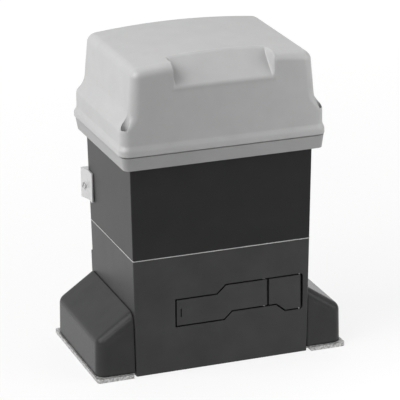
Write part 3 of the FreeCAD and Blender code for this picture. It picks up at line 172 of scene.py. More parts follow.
def makeLamps(setup):
    # Area lamps at their places, each turned so that its -Z axis points from the place to the aim
    for name, place, aim, width, height, watts, inGloss in setup["lights"]:
        data = bpy.data.lights.new(name, "AREA")
        data.shape = "RECTANGLE"
        data.size = width
        data.size_y = height
        data.energy = watts
        lamp = bpy.data.objects.new(name, data)
        lamp.location = place
        lamp.rotation_euler = (Vector(aim) - Vector(place)).to_track_quat("-Z", "Y").to_euler()
        lamp.visible_camera = False
        lamp.visible_glossy = inGloss
        bpy.context.scene.collection.objects.link(lamp)


makeWorld(studio)
makeFloor(studio)
makeLamps(studio)
bpy.context.scene.view_settings.view_transform = "Standard"
print("stage: studio")


# Each finish: colour, share by which it varies, roughness range, grain size (per metre), depth of
# the grain (metres) and, where they aren't the plain ones, metal, ior and cloud
finishes = {
    # Painted shade: the upper housing's black is a quarter of the lower casting's tone, so that the
    # top of the body comes out darker than its lower part
    "castBlackShaded": {
        "tone": (0.0095, 0.0095, 0.0098), "vary": 0.2, "rough": (0.30, 0.40),
        "grain": 900.0, "depth": 0.00003, "ior": 1.32,
    },
    "lowerBlack": {
        "tone": (0.038, 0.038, 0.0385), "vary": 0.15, "rough": (0.34, 0.44),
        "grain": 900.0, "depth": 0.00003, "ior": 1.33,
    },
    "footBlack": {
        "tone": (0.045, 0.045, 0.0455), "vary": 0.08, "rough": (0.22, 0.26),
        "grain": 1500.0, "depth": 0.00001, "ior": 1.2,
    },
    "leverBlack": {
        "tone": (0.038, 0.038, 0.0385), "vary": 0.15, "rough": (0.32, 0.42),
        "grain": 1100.0, "depth": 0.00003, "ior": 1.34,
    },
    "coverGrey": {
        "tone": (0.47, 0.47, 0.47), "vary": 0.03, "rough": (0.30, 0.38),
        "grain": 1600.0, "depth": 0.00002,
    },
    # Painted shade: the tray's grey is set below the cover's so that its front comes out dark, as
    # in the shade under the lip
    "trayGreyShaded": {
        "tone": (0.36, 0.36, 0.36), "vary": 0.03, "rough": (0.36, 0.44),
        "grain": 1600.0, "depth": 0.00002,
    },
    "gasketPale": {
        "tone": (0.55, 0.55, 0.545), "vary": 0.1, "rough": (0.6, 0.7),
        "grain": 1500.0, "depth": 0.00003,
    },
    "plateZinc": {
        "tone": (0.46, 0.46, 0.455), "vary": 0.55, "rough": (0.35, 0.6),
        "grain": 900.0, "cloud": 0.45, "depth": 0.00012, "metal": 0.6,
    },
    "sheetZinc": {
        "tone": (0.60, 0.60, 0.60), "vary": 0.10, "rough": (0.32, 0.45),
        "grain": 700.0, "depth": 0.00003, "metal": 0.45,
    },
    "boltSteel": {
        "tone": (0.56, 0.56, 0.56), "vary": 0.15, "rough": (0.28, 0.42),
        "grain": 900.0, "depth": 0.00002, "metal": 1.0,
    },
    "gearSteel": {
        "tone": (0.42, 0.42, 0.43), "vary": 0.2, "rough": (0.25, 0.4),
        "grain": 700.0, "depth": 0.00003, "metal": 1.0,
    },
    "bearingSteel": {
        "tone": (0.58, 0.58, 0.59), "vary": 0.08, "rough": (0.18, 0.28),
        "grain": 600.0, "depth": 0.00001, "metal": 1.0,
    },
    "wheelBronze": {
        "tone": (0.60, 0.38, 0.16), "vary": 0.15, "rough": (0.28, 0.4),
        "grain": 700.0, "depth": 0.00002, "metal": 1.0,
    },
    "coreSteel": {
        "tone": (0.28, 0.28, 0.29), "vary": 0.2, "rough": (0.4, 0.55),
        "grain": 900.0, "depth": 0.00003, "metal": 0.9,
    },
    "windingCopper": {
        "tone": (0.50, 0.20, 0.08), "vary": 0.25, "rough": (0.3, 0.45),
        "grain": 1200.0, "depth": 0.0002, "metal": 0.8,
    },
    "bareAluminium": {
        "tone": (0.62, 0.62, 0.63), "vary": 0.12, "rough": (0.35, 0.5),
        "grain": 900.0, "depth": 0.00005, "metal": 0.95,
    },
    "lockNickel": {
        "tone": (0.64, 0.62, 0.58), "vary": 0.08, "rough": (0.16, 0.26),
        "grain": 500.0, "depth": 0.00001, "metal": 1.0,
    },
    "sealGrey": {
        "tone": (0.16, 0.16, 0.16), "vary": 0.2, "rough": (0.6, 0.75),
        "grain": 1300.0, "depth": 0.00005,
    },
    "sealRubber": {
        "tone": (0.012, 0.012, 0.012), "vary": 0.2, "rough": (0.6, 0.75),
        "grain": 1300.0, "depth": 0.00005,
    },
    "boardGreen": {
        "tone": (0.02, 0.15, 0.06), "vary": 0.2, "rough": (0.3, 0.4),
        "grain": 800.0, "depth": 0.00002,
    },
    "moduleDark": {
        "tone": (0.03, 0.03, 0.033), "vary": 0.2, "rough": (0.4, 0.5),
        "grain": 1100.0, "depth": 0.00004,
    },
    "canAluminium": {
        "tone": (0.70, 0.70, 0.71), "vary": 0.08, "rough": (0.25, 0.35),
        "grain": 500.0, "depth": 0.00001, "metal": 1.0,
    },
}
plainFinish = {
    "metal": 0.0,
    "ior": 1.45,
    "cloud": 0.03,  # scale of the slow changes of tone, as a share of the grain's
    "cloudDetail": 4.0,
    "grainDetail": 3.0,
    "toneEnds": (0.3, 0.7),  # noise values that give the darkest and the lightest tone
}


def makeFinish(name, ownSetup):
    # Colour tone * (1 - vary) to tone * (1 + vary) by a slow noise over the piece; roughness and
    # bump by a fine noise, both in Object coordinates
    setup = {**plainFinish, **ownSetup}
    material = bpy.data.materials.new(name)
    material.use_nodes = True
    tree = material.node_tree
    shader = tree.nodes["Principled BSDF"]
    shader.inputs["Metallic"].default_value = setup["metal"]
    shader.inputs["IOR"].default_value = setup["ior"]
    place = tree.nodes.new("ShaderNodeTexCoord")
    cloud = tree.nodes.new("ShaderNodeTexNoise")
    cloud.inputs["Scale"].default_value = setup["grain"] * setup["cloud"]
    cloud.inputs["Detail"].default_value = setup["cloudDetail"]
    grain = tree.nodes.new("ShaderNodeTexNoise")
    grain.inputs["Scale"].default_value = setup["grain"]
    grain.inputs["Detail"].default_value = setup["grainDetail"]
    ramp = tree.nodes.new("ShaderNodeValToRGB")
    tone = np.array(setup["tone"])
    for stop, position, side in zip(ramp.color_ramp.elements, setup["toneEnds"], (-1, 1)):
        stop.position = position
        stop.color = (*np.clip(tone * (1 + side * setup["vary"]), 0, 1), 1.0)
    rough = tree.nodes.new("ShaderNodeMapRange")
    setRange(rough, (0.0, 1.0), setup["rough"])
    bump = tree.nodes.new("ShaderNodeBump")
    bump.inputs["Distance"].default_value = setup["depth"]
    bump.inputs["Strength"].default_value = 1.0
    link = tree.links.new
    link(place.outputs["Object"], cloud.inputs["Vector"])
    link(place.outputs["Object"], grain.inputs["Vector"])
    link(cloud.outputs["Fac"], ramp.inputs["Fac"])
    link(grain.outputs["Fac"], rough.inputs["Value"])
    link(grain.outputs["Fac"], bump.inputs["Height"])
    link(ramp.outputs["Color"], shader.inputs["Base Color"])
    link(rough.outputs["Result"], shader.inputs["Roughness"])
    link(bump.outputs["Normal"], shader.inputs["Normal"])
    return material


materials = {name: makeFinish(name, setup) for name, setup in finishes.items()}
print("stage:", len(materials), "finishes")


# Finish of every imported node
nodeFinish = {
    # the housing takes the darkened black, painted shade
    "castBlackShaded": ["motor_housing"],
    "lowerBlack": ["gearbox_casting"],
    "footBlack": ["foot_cover_left", "foot_cover_right"],
    "leverBlack": ["release_lever", "lock_flap"],
    "coverGrey": ["cover"],
    # the tray takes the darkened grey, painted shade under the lip
    "trayGreyShaded": ["cover_tray"],
    "gasketPale": ["casting_gasket"],
    "plateZinc": ["foundation_plate"],
    "sheetZinc": ["sensor_cover", "sensor_carrier"],
    "boltSteel": [
        "mounting_studs", "mounting_nuts", "cover_screws", "sensor_screws", "end_flange_screws",
        "pinion_screw", "pinion_washer", "oil_plugs", "lever_pin", "flap_pin", "board_standoffs",
    ],
    "gearSteel": [
        "pinion", "output_shaft", "shaft_key", "clutch_collar", "release_fork", "motor_shaft",
    ],
    "bearingSteel": ["shaft_bearings", "motor_bearings"],
    "wheelBronze": ["worm_wheel"],
    "coreSteel": ["stator_core", "rotor_core"],
    "windingCopper": ["stator_windings"],
    "bareAluminium": ["motor_flange", "end_flange"],
    "lockNickel": ["lock_barrel", "lock_ring"],
    "sealGrey": ["cover_seal"],
    "sealRubber": ["shaft_seal"],
    "boardGreen": ["control_board"],
    "moduleDark": ["terminal_blocks", "relays", "limit_sensor", "transformer"],
    "canAluminium": ["capacitor"],
}
for finishName, names in nodeFinish.items():
    for name in names:
        nodes[name].data.materials.clear()
        nodes[name].data.materials.append(materials[finishName])
print("stage: packed nodes dressed")


metresPerMillimetre = 0.001
weldGap = 2e-6  # metres: points nearer than this become one


def unitVector(vector):
    # v / |v|
    return np.array(vector) / np.linalg.norm(vector)


def smoothStep(low, high, value):
    # 0 below low, 1 above high, t^2 (3 - 2t) between
    t = np.clip((value - low) / (high - low), 0, 1)
    return t * t * (3 - 2 * t)


def softCorners(knots, steps):
    # A polyline whose corners are parabolas: (1-t)^2 A + 2t(1-t) C + t^2 B, where C is the corner
    # and A, B lie on its two legs at the knot's own cut length
    knots = np.array(knots, dtype=float)
    t = np.linspace(0, 1, steps)[:, None]
    runs = [knots[:1, :2]]
    for before, corner, after in zip(knots[:-2], knots[1:-1], knots[2:]):
        place, cut = corner[:2], corner[2]
        start = place + (before[:2] - place) / np.linalg.norm(before[:2] - place) * cut
        end = place + (after[:2] - place) / np.linalg.norm(after[:2] - place) * cut
        runs.append((1 - t) ** 2 * start + 2 * t * (1 - t) * place + t**2 * end)
    runs.append(knots[-1:, :2])
    return np.concatenate(runs)


def evenSteps(points, gap):
    # Points at even steps of arc length along a polyline, no step longer than gap
    length = np.linalg.norm(np.diff(points, axis=0), axis=1)
    length = np.concatenate([[0], np.cumsum(length)])
    where = np.linspace(0, length[-1], int(length[-1] / gap) + 2)
    axes = range(points.shape[1])
    return np.stack([np.interp(where, length, points[:, axis]) for axis in axes], axis=1)


def gridQuads(rows, columns, closed):
    # Corner numbers of the quads between neighbouring rows and columns; closed joins the last
    # column to the first
    row = np.arange(rows - 1)[:, None]
    column = np.arange(columns if closed else columns - 1)[None, :]
    right = (column + 1) % columns
    start, over = row * columns, (row + 1) * columns
    corners = [start + column, start + right, over + right, over + column]
    return np.stack(corners, axis=-1).reshape(-1, 4)


def makePiece(name, grids, materialName, keep=None):
    # One mesh from grids of points in millimetres, each (rows, columns, 3) with a flag for closed
    # columns; keep picks quads by their middle points
    points, quads, count = [], [], 0
    for grid, closed in grids:
        rows, columns = grid.shape[:2]
        points.append(grid.reshape(-1, 3))
        quads.append(gridQuads(rows, columns, closed) + count)
        count += rows * columns
    points = np.concatenate(points)
    quads = np.concatenate(quads)
    if keep is not None:
        quads = quads[keep(points[quads].mean(axis=1))]
    places = (points * metresPerMillimetre).astype(np.float32)
    mesh = bpy.data.meshes.new(name)
    mesh.vertices.add(len(points))
    mesh.vertices.foreach_set("co", places.ravel())
    mesh.loops.add(quads.size)
    mesh.loops.foreach_set("vertex_index", quads.astype(np.int32).ravel())
    mesh.polygons.add(len(quads))
    mesh.polygons.foreach_set("loop_start", np.arange(0, quads.size, 4, dtype=np.int32))
    mesh.update(calc_edges=True)
    joined = bmesh.new()
    joined.from_mesh(mesh)
    bmesh.ops.remove_doubles(joined, verts=joined.verts, dist=weldGap)
    joined.to_mesh(mesh)
    joined.free()
    mesh.polygons.foreach_set("use_smooth", np.ones(len(mesh.polygons), dtype=bool))
    mesh.materials.append(materials[materialName])
    piece = bpy.data.objects.new(name, mesh)
    bpy.context.scene.collection.objects.link(piece)
    return piece


coverShape = {
    # the rim on the tray, and the lip that stands out round it
    "seam": 243.4,  # height
    "halfWidth": 109.5,
    "front": -86.1,
    "back": 76.2,
    "frontLean": 1.7,  # both ends lean inward up to the top edge
    "backLean": 4.2,
    "rimWall": 4.0,
    "rimHeight": 8.0,  # of its inner face
    "lipOut": 1.8,  # at the sides, the front and the back
    "lipFrontOut": 1.5,
    "lipBackOut": 3.1,
    "lipHeight": 6.0,
    "lipTop": 254.4,  # where the plain wall starts
    # shoulders, dome and top
    "shoulderLow": 271.8,
    "shoulderHigh": 284.4,
    "domeLow": 100.2,  # half width above the shoulder and at the top edge
    "domeTop": 97.1,
    "cuts": (0, 0.4, 0.5, 1.3, 1.2, 3.8, 4.8, 0),  # rounding of the side's corners, going up
    "edge": 331.75,
    "edgeRound": 9.2,
    "arch": 5.9,
    "rise": 1.8,  # how much higher the back of the dome is
    "cornerRound": 10.4,
    "cornerLeast": 0.4,
    # recess in the top front edge
    "recessHalf": 52.9,
    "recessLow": 311.4,
    "recessSide": 1.5,
    "recessSoft": 0.7,
    "recessFade": 10.0,  # depth at which the softness has run out
    "recessBead": 0.5,  # the soft rim that stands up round the recess
    "beadWidth": 1.3,
    "beadAway": 1.7,
    "beadStart": (-0.2, 1.0),
    "beadBelow": 8.0,
    "beadBack": 40.0,
    # screw wells
    "wellX": 103.7,
    "wellInset": 6.8,
    "wellRadius": 4.7,
    "wellTaper": 0.84,  # share of the radius that is left at the floor
    "taperEnd": 0.25,  # share of the depth over which it narrows
    "wellFloor": 252.0,
    "wellRim": 0.8,
    "flangeReach": (1.7, 1.2),  # the lining's flange lies on the skin, outside the rim
    "flangeDrop": (-0.02, -0.05),
    "liningLift": 0.03,
    "wallMargin": 0.05,
    "floorHole": 0.45,  # share of the radius inside which the screw stands
    "skinGap": 0.5,  # the skin is open this far outside a well's radius,
    "skinBelow": 0.7,  # and down to this far below the shoulder
    "screwX": 102.9,
    # how fine the mesh is: start, end and number of columns in a run, rows and steps
    "across": ((0, 0.55, 16), (0.558, 0.87, 44), (0.885, 1, 8)),
    "along": ((-1, -0.9, 10), (-0.88, 0.88, 30), (0.9, 1, 10)),
    "cornerColumns": 16,
    "cutSteps": 12,
    "sideStep": 0.9,
    "edgeRows": 14,
    "topDense": 36.0,  # inset up to which the rows of the top stand close
    "topRows": (34, 18),
    "wellColumns": 72,
    "rimRows": 7,
    "tubeRows": 8,
    # how a height on the shoulder is found
    "searchRounds": 4,
    "readAbove": 8.0,  # on the side's profile from so far above lipTop
}


def coverSide(cover):
    # Half width against height, a polyline with soft corners: up inside the rim, round the seam,
    # then wall, shoulder and dome side
    half, seam = cover["halfWidth"], cover["seam"]
    inside, outside = half - cover["rimWall"], half + cover["lipOut"]
    places = [
        (inside, seam + cover["rimHeight"]),
        (inside, seam),
        (outside, seam),
        (outside, seam + cover["lipHeight"]),
        (half, cover["lipTop"]),
        (half, cover["shoulderLow"]),
        (cover["domeLow"], cover["shoulderHigh"]),
        (cover["domeTop"], cover["edge"] - cover["edgeRound"]),
    ]
    knots = [(*place, cut) for place, cut in zip(places, cover["cuts"])]
    return evenSteps(softCorners(knots, cover["cutSteps"]), cover["sideStep"])


def coverColumns(cover):
    # Columns round a rounded rectangle: a centre factor c and an outward look n, so that a point is
    # c * (half size - r) + n * r for any half size and corner radius r
    fine = np.concatenate([np.linspace(*run) for run in cover["across"]])
    across = np.concatenate([-fine[:0:-1], fine])
    along = np.concatenate([np.linspace(*run) for run in cover["along"]])
    centres, looks = [], []
    for quarter, steps in enumerate((across, along, across, along)):
        angle = math.radians(90 * quarter - 90)
        look = np.array([math.cos(angle), math.sin(angle)])
        side = np.array([-look[1], look[0]])
        turn = angle + np.linspace(0, math.pi / 2, cover["cornerColumns"])[1:-1]
        centres += [look + steps[:, None] * side, np.tile(look + side, (len(turn), 1))]
        looks += [np.tile(look, (len(steps), 1)), np.stack([np.cos(turn), np.sin(turn)], axis=1)]
    return np.concatenate(centres), np.concatenate(looks)


def coverEnds(cover, height):
    # Front and back places of the end faces at a height: each moves in by its lean times the share
    # of the way from the seam to the edge
    up = (height - cover["seam"]) / (cover["edge"] - cover["seam"])
    return cover["front"] + cover["frontLean"] * up, cover["back"] - cover["backLean"] * up


def coverRise(cover, y, height):
    # The dome's slope up to the back: 0 at the rim, whole from the shoulder up
    middle = (cover["front"] + cover["back"]) / 2
    slope = cover["rise"] / (cover["back"] - cover["front"])
    return smoothStep(cover["lipTop"], cover["shoulderLow"], height) * (y - middle) * slope


def coverRows(cover):
    # Height, inset and half width of the rows. Up the side they follow coverSide, over the top edge
    # the inset is R (1 - cos a) and the height R sin a, and then they close inward over the top.
    side = coverSide(cover)
    edge, radius, dense = cover["edge"], cover["edgeRound"], cover["topDense"]
    bend = np.linspace(0, math.pi / 2, cover["edgeRows"])[1:]
    front, back = coverEnds(cover, edge)
    topInset = np.concatenate([
        np.linspace(radius, dense, cover["topRows"][0])[1:],
        np.linspace(dense, (back - front) / 2, cover["topRows"][1])[1:],
    ])
    roundHeight = edge - radius + radius * np.sin(bend)
    height = np.concatenate([side[:, 1], roundHeight, np.full(len(topInset), edge)])
    inset = np.concatenate([np.zeros(len(side)), radius * (1 - np.cos(bend)), topInset])
    topWidth = np.full(len(height) - len(side), cover["domeTop"])
    return height, inset, np.concatenate([side[:, 0], topWidth]) - inset


def coverOutline(cover, height, inset, width):
    # X and Y of the points, a rounded rectangle in each row: the lip stands out at the ends in
    # step with the sides, and the corner radius shrinks by the inset
    rim = height < cover["lipTop"]
    out = np.clip(width - cover["halfWidth"], 0, None) / cover["lipOut"] * rim
    inner = np.clip(cover["halfWidth"] - width, 0, None) * rim
    front, back = coverEnds(cover, np.minimum(height, cover["edge"]))
    front = front - out * cover["lipFrontOut"] + inner + inset
    back = back + out * cover["lipBackOut"] - inner - inset
    middle, half = ((front + back) / 2)[:, None], (back - front) / 2
    corner = np.maximum(cover["cornerRound"] - inset - inner, cover["cornerLeast"])
    corner = np.minimum(corner, half)[:, None]
    centres, looks = coverColumns(cover)
    x = centres[None, :, 0] * (width[:, None] - corner) + looks[None, :, 0] * corner
    y = middle + centres[None, :, 1] * (half[:, None] - corner) + looks[None, :, 1] * corner
    return x, y


def recessPush(cover, x, y, z):
    # How far a point goes back and down: by its distance b beyond a 45 degree plane, softened as
    # (b + sqrt(b^2 + s^2)) / 2, between the recess's sides, less a bell-shaped bead round it
    startFront = coverEnds(cover, cover["recessLow"])[0]
    beyond = ((z - cover["recessLow"]) - (y - startFront)) / math.sqrt(2)
    soft, side = cover["recessSoft"], cover["recessSide"]
    push = (beyond + np.sqrt(beyond**2 + soft**2)) / 2 - soft**2 / (4 * cover["recessFade"])
    inside = 1 - smoothStep(-side, side, np.abs(x) - cover["recessHalf"])
    push = np.clip(push, 0, None) * inside / math.sqrt(2)
    away = np.maximum(np.abs(x) - cover["recessHalf"], -beyond)  # outward from the outline
    bell = np.exp(-(((away - cover["beadAway"]) / cover["beadWidth"]) ** 2))
    bead = cover["recessBead"] * bell * smoothStep(*cover["beadStart"], away)
    bead = bead * (z > cover["recessLow"] - cover["beadBelow"])
    bead = bead * (y < cover["front"] + cover["beadBack"])
    return push - bead / math.sqrt(2)


def coverGrid(cover):
    # Rounded rectangles one above the other. The dome is lifted by arch * (1 - (x / half)^2), in
    # full from the top edge's foot up, and the recess is pushed in along a slanting plane.
    height, inset, width = coverRows(cover)
    x, y = coverOutline(cover, height, inset, width)
    dome = cover["edge"] - cover["edgeRound"] - cover["shoulderHigh"]
    share = np.clip((height - cover["shoulderHigh"]) / dome, 0, 1)[:, None]
    arch = cover["arch"] * np.clip(1 - (x / cover["domeTop"]) ** 2, 0, None)
    z = height[:, None] + share * arch + coverRise(cover, y, height[:, None])
    push = recessPush(cover, x, y, z)
    return np.stack([x, y + push, z - push], axis=-1)


def shoulderHeight(cover, x, y):
    # Height of the cover's surface over a point near a shoulder: the side profile read backward,
    # with the half width grown by r - sqrt(r^2 - d^2) where the point is d into a rounded corner
    side = coverSide(cover)
    side = side[side[:, 1] > cover["lipTop"] + cover["readAbove"]]
    rising = -side[:, 0] + np.arange(len(side)) * 1e-6  # no two alike, also up the straight wall
    radius = cover["cornerRound"]
    height = np.full(np.shape(x), (cover["shoulderLow"] + cover["shoulderHigh"]) / 2)
    for _ in range(cover["searchRounds"]):
        front, back = coverEnds(cover, height)
        into = np.clip(np.maximum(front + radius - y, y - back + radius), 0, radius)
        reach = np.abs(x) + radius - np.sqrt(radius**2 - into**2)
        height = np.interp(-reach, rising, side[:, 1])
    return height + coverRise(cover, y, height)


def insideWall(cover, x, y):
    # Points drawn back to the cover's rounded outline where they lie outside it: past a corner's
    # circle centre the distance d is cut to R, elsewhere the nearer side is the limit
    margin = cover["wallMargin"]
    radius = cover["cornerRound"] - margin
    front, back = coverEnds(cover, cover["shoulderLow"])
    middle = np.clip(y, front + radius + margin, back - radius - margin)
    alongX = np.abs(x) - (cover["halfWidth"] - radius - margin)
    alongY = y - middle
    away = np.maximum(np.hypot(np.maximum(alongX, 0), alongY), 1e-9)  # never 0
    shrink = np.where(alongX > 0, np.minimum(1, radius / away), 1)
    reach = alongX * shrink + cover["halfWidth"] - radius - margin
    return np.sign(x) * reach, middle + alongY * shrink


def wellPlaces(cover):
    # X and Y of the four wells' axes: left and right, each in front and behind
    ends = (cover["front"] + cover["wellInset"], cover["back"] - cover["wellInset"])
    return [(x, y) for x in (-cover["wellX"], cover["wellX"]) for y in ends]


def wellGrid(cover, place):
    # Lining of a screw well: a flange that lies on the cover's surface, a rim of inset
    # r (1 - sin a) and drop r (1 - cos a), the tube down to the floor and the floor's ring;
    # columns go round the well's axis
    angle = np.linspace(0, 2 * math.pi, cover["wellColumns"] + 1)[:-1]
    radius, rim, lift = cover["wellRadius"], cover["wellRim"], cover["liningLift"]
    bend = np.linspace(0, math.pi / 2, cover["rimRows"])
    flange = radius + np.array(cover["flangeReach"])
    reach = np.concatenate([flange, radius + rim * (1 - np.sin(bend))])[:, None]
    rimDrop = rim * (1 - np.cos(bend)) - lift * np.cos(bend)
    drop = np.concatenate([cover["flangeDrop"], rimDrop])[:, None]
    x, y = insideWall(cover, place[0] + reach * np.cos(angle), place[1] + reach * np.sin(angle))
    outward = x + math.copysign(lift, place[0])
    upper = np.stack([outward, y, shoulderHeight(cover, x, y) - drop], axis=-1)
    fall = np.linspace(0, 1, cover["tubeRows"] + 1)[1:, None]
    tube = np.repeat(upper[-1:], len(fall), axis=0)
    tube[:, :, 2] = tube[:, :, 2] * (1 - fall) + cover["wellFloor"] * fall
    narrow = 1 - (1 - cover["wellTaper"]) * smoothStep(0, cover["taperEnd"], fall[:, :, None])
    axis = np.array(place)
    tube[:, :, :2] = axis + (tube[:, :, :2] - axis) * narrow
    ring = tube[-1:].copy()
    ring[0, :, :2] = axis + (ring[0, :, :2] - axis) * cover["floorHole"]
    return np.concatenate([upper, tube, ring])


def makeCover(cover):
    # The skin loses its quads round the wells, where their distance to an axis is under R + gap,
    # and the linings close the holes
    places = np.array(wellPlaces(cover))

    def outsideWells(middles):
        # True where a quad's middle is away from every well, or below the shoulders
        gap = np.linalg.norm(middles[:, None, :2] - places[None], axis=2).min(axis=1)
        below = middles[:, 2] < cover["shoulderLow"] - cover["skinBelow"]
        return (gap > cover["wellRadius"] + cover["skinGap"]) | below

    skin = makePiece("coverSkin", [(coverGrid(cover), True)], "coverGrey", outsideWells)
    linings = [(wellGrid(cover, place), True) for place in places]
    wells = makePiece("screwWells", linings, "coverGrey")
    for piece in (skin, wells):
        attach(piece, "housing")
        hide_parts("cover")


makeCover(coverShape)
print("stage: cover")


footShape = {
    "bodyHalf": 95.25,  # side of the casting at the plate, and how it widens upward
    "bodyDraft": 0.0159,
    "gap": 0.3,
    "outer": 136.75,  # at the plate and at the top of the side
    "outerTop": 135.95,
    "sideHeight": 43.5,
    "topHeight": 70.9,
    "halfLength": 71.7,
    "low": 4.0,
    "round": 11.0,
    "roundLeast": 0.8,
    "lip": 1.5,  # rounding of the edge that lies against the casting
    "lipRun": 1.6,  # share of the lip that the rounding takes on the slope
    "runShare": 0.4,  # no rounding takes more of the slope than this
    "tuck": 3.0,  # how far the lip goes down beside the casting
    "endGap": 0.02,
    "wall": 1.4,
    # how fine the mesh is
    "roundRows": 15,
    "faceRows": 30,
    "middleRows": 33,
    "lipColumns": 9,
    "slopeColumns": 22,
    "cornerColumns": 15,
    "sideColumns": 14,
}


def crossing(pointA, lookA, pointB, lookB):
    # Where the lines (p - A) . nA = 0 and (p - B) . nB = 0 meet, by Cramer's rule
    a, b = (pointA * lookA).sum(-1), (pointB * lookB).sum(-1)
    below = lookA[0] * lookB[1] - lookA[1] * lookB[0]
    first = (a * lookB[1] - b * lookA[1]) / below
    second = (b * lookA[0] - a * lookB[0]) / below
    return np.stack([first, second], axis=-1)


def curveRun(start, knee, end, count):
    # Columns along a parabola in every row: (1-t)^2 A + 2t(1-t) C + t^2 B
    t = np.linspace(0, 1, count)[None, :, None]
    return (1 - t) ** 2 * start[:, None] + 2 * t * (1 - t) * knee[:, None] + t**2 * end[:, None]


def straightRun(start, end, count):
    # Columns between two points in every row, without the ends: (1-t) A + t B
    t = np.linspace(0, 1, count)[None, 1:-1, None]
    return (1 - t) * start[:, None] + t * end[:, None]


def footRows(foot):
    # Inset and Y of the rows: towards an end the inset is R (1 - cos a) while Y moves out by
    # R sin a, and on the end face the inset grows on until the outline meets the casting
    radius, length = foot["round"], foot["halfLength"]
    bend = np.linspace(0, math.pi / 2, foot["roundRows"])
    width = foot["outer"] - foot["bodyHalf"] - foot["gap"]
    face = np.linspace(radius, width - foot["endGap"], foot["faceRows"])[1:]
    inset = np.concatenate([radius * (1 - np.cos(bend)), face])
    roundReach = length - radius + radius * np.sin(bend)
    reach = np.concatenate([roundReach, np.full(len(face), length)])
    middle = np.linspace(-1, 1, foot["middleRows"])[1:-1] * (length - radius)
    inset = np.concatenate([inset[::-1], np.zeros(len(middle)), inset])
    return inset[:, None], np.concatenate([-reach[::-1], middle, reach])


def footOutline(foot, inset):
    # Each row's outline in the XZ plane: up the casting, over the lip, down the slope, round the
    # corner and down the outer side. The slope and the outer side stand in by the row's inset, and
    # the corners are parabolas as in softCorners.
    low, lip = foot["low"], foot["lip"]
    bodyHalf, draft, topHeight = foot["bodyHalf"], foot["bodyDraft"], foot["topHeight"]
    bodyLook = np.array([-1.0, draft])
    bodyPoint = np.array([bodyHalf + foot["gap"], low])
    topPoint = np.array([bodyHalf + draft * (topHeight - low), topHeight])
    shoulder = np.array([foot["outerTop"], foot["sideHeight"]])
    slopeLook = unitVector([topPoint[1] - shoulder[1], shoulder[0] - topPoint[0]])
    outerLook = unitVector([foot["sideHeight"] - low, foot["outer"] - foot["outerTop"]])
    slopeWay = np.array([slopeLook[1], -slopeLook[0]])
    outerWay = np.array([outerLook[1], -outerLook[0]])
    slopePoint = shoulder - inset * slopeLook
    outerPoint = shoulder - inset * outerLook
    peak = crossing(bodyPoint[None], bodyLook, slopePoint, slopeLook)
    corner = crossing(slopePoint, slopeLook, outerPoint, outerLook)
    baseX = outerPoint[:, 0] + (shoulder[1] - low) * outerLook[1]
    base = np.stack([baseX, np.full(len(inset), low)], axis=-1)
    down = np.tile([-draft, -1.0], (len(inset), 1))
    run = np.maximum(((corner - peak) * slopeWay).sum(-1, keepdims=True), 0)
    turn = math.acos(float(slopeLook @ outerLook))
    soft = np.clip(foot["round"] - inset, foot["roundLeast"], None) * math.tan(turn / 2)
    soft = np.minimum(soft, run * foot["runShare"])
    lipRun = np.minimum(lip * foot["lipRun"], run * foot["runShare"])
    lipStart = peak + down * lipRun
    lipEnd = peak + slopeWay * lipRun
    cornerStart = corner - slopeWay * soft
    cornerEnd = corner + outerWay * soft
    outline = np.concatenate([
        (lipStart + down * foot["tuck"])[:, None],
        curveRun(lipStart, peak, lipEnd, foot["lipColumns"]),
        straightRun(lipEnd, cornerStart, foot["slopeColumns"]),
        curveRun(cornerStart, corner, cornerEnd, foot["cornerColumns"]),
        straightRun(cornerEnd, base, foot["sideColumns"]),
        base[:, None],
    ], axis=1)
    outline[:, :, 1] = np.maximum(outline[:, :, 1], low)
    return outline


def footGrid(foot, side):
    # The outlines stood at their rows' Y. On the end faces Y turns in by r - sqrt(r^2 - d^2)
    # beside the casting, where d is how far a point is inside the lip's radius r.
    inset, across = footRows(foot)
    outline = footOutline(foot, inset)
    casting = foot["bodyHalf"] + foot["gap"] + foot["bodyDraft"] * (outline[:, :, 1] - foot["low"])
    near = np.clip(foot["lip"] - (outline[:, :, 0] - casting), 0, foot["lip"])
    turned = foot["lip"] - np.sqrt(foot["lip"] ** 2 - near**2)
    half = foot["round"] / 2
    ends = np.clip((inset - half) / half, 0, 1)
    y = across[:, None] - np.sign(across)[:, None] * turned * ends
    grid = np.stack([outline[:, :, 0] * side, y, outline[:, :, 1]], axis=-1)
    return grid[:, ::-1] if side < 0 else grid  # columns turn round, so that faces look outward


def makeFeet(foot):
    # Both foot covers, mirrored by the sign of X, with the wall added on the inner side
    for name, side in (("footLeft", -1), ("footRight", 1)):
        piece = makePiece(name + "Skin", [(footGrid(foot, side), False)], "footBlack")
        wall = piece.modifiers.new("wall", "SOLIDIFY")
        wall.thickness = foot["wall"] * metresPerMillimetre
        wall.offset = -1
        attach(piece, "housing")
        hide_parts("foot_cover_left" if side < 0 else "foot_cover_right")


makeFeet(footShape)
print("stage: feet")


screwShape = {
    # radius and height of the head, half width and depth of the slot, dome, shank
    "sensor": {
        "radius": 3.4, "height": 1.8, "slot": 0.55, "deep": 1.0,
        "dome": 0.35, "shank": 2.0, "length": 5.0,
    },
    "cover": {
        "radius": 3.6, "height": 2.8, "slot": 0.6, "deep": 1.4,
        "dome": 0.5, "shank": 2.0, "length": 7.0,
    },
    # what all heads share: the rounding of the edge and the angle at which it starts, how far the
    # inmost ring clears the slot, and how fine the mesh is
    "head": {
        "edge": 0.35, "edgeStart": 0.3, "clear": 1.02,
        "faceRings": 9, "edgeRings": 5, "slotColumns": 5, "landColumns": 14,
    },
    # place, look and slot turn (degrees) of each screw
    "sensorPlaces": [
        ((-101.82, 70.47, 165.25), (-0.945, -0.327, 0.0), 62.0),
        ((101.82, 70.47, 165.25), (0.945, -0.327, 0.0), 20.0),
    ],
    "coverTurns": (25.0, 70.0, -35.0, 10.0),
}


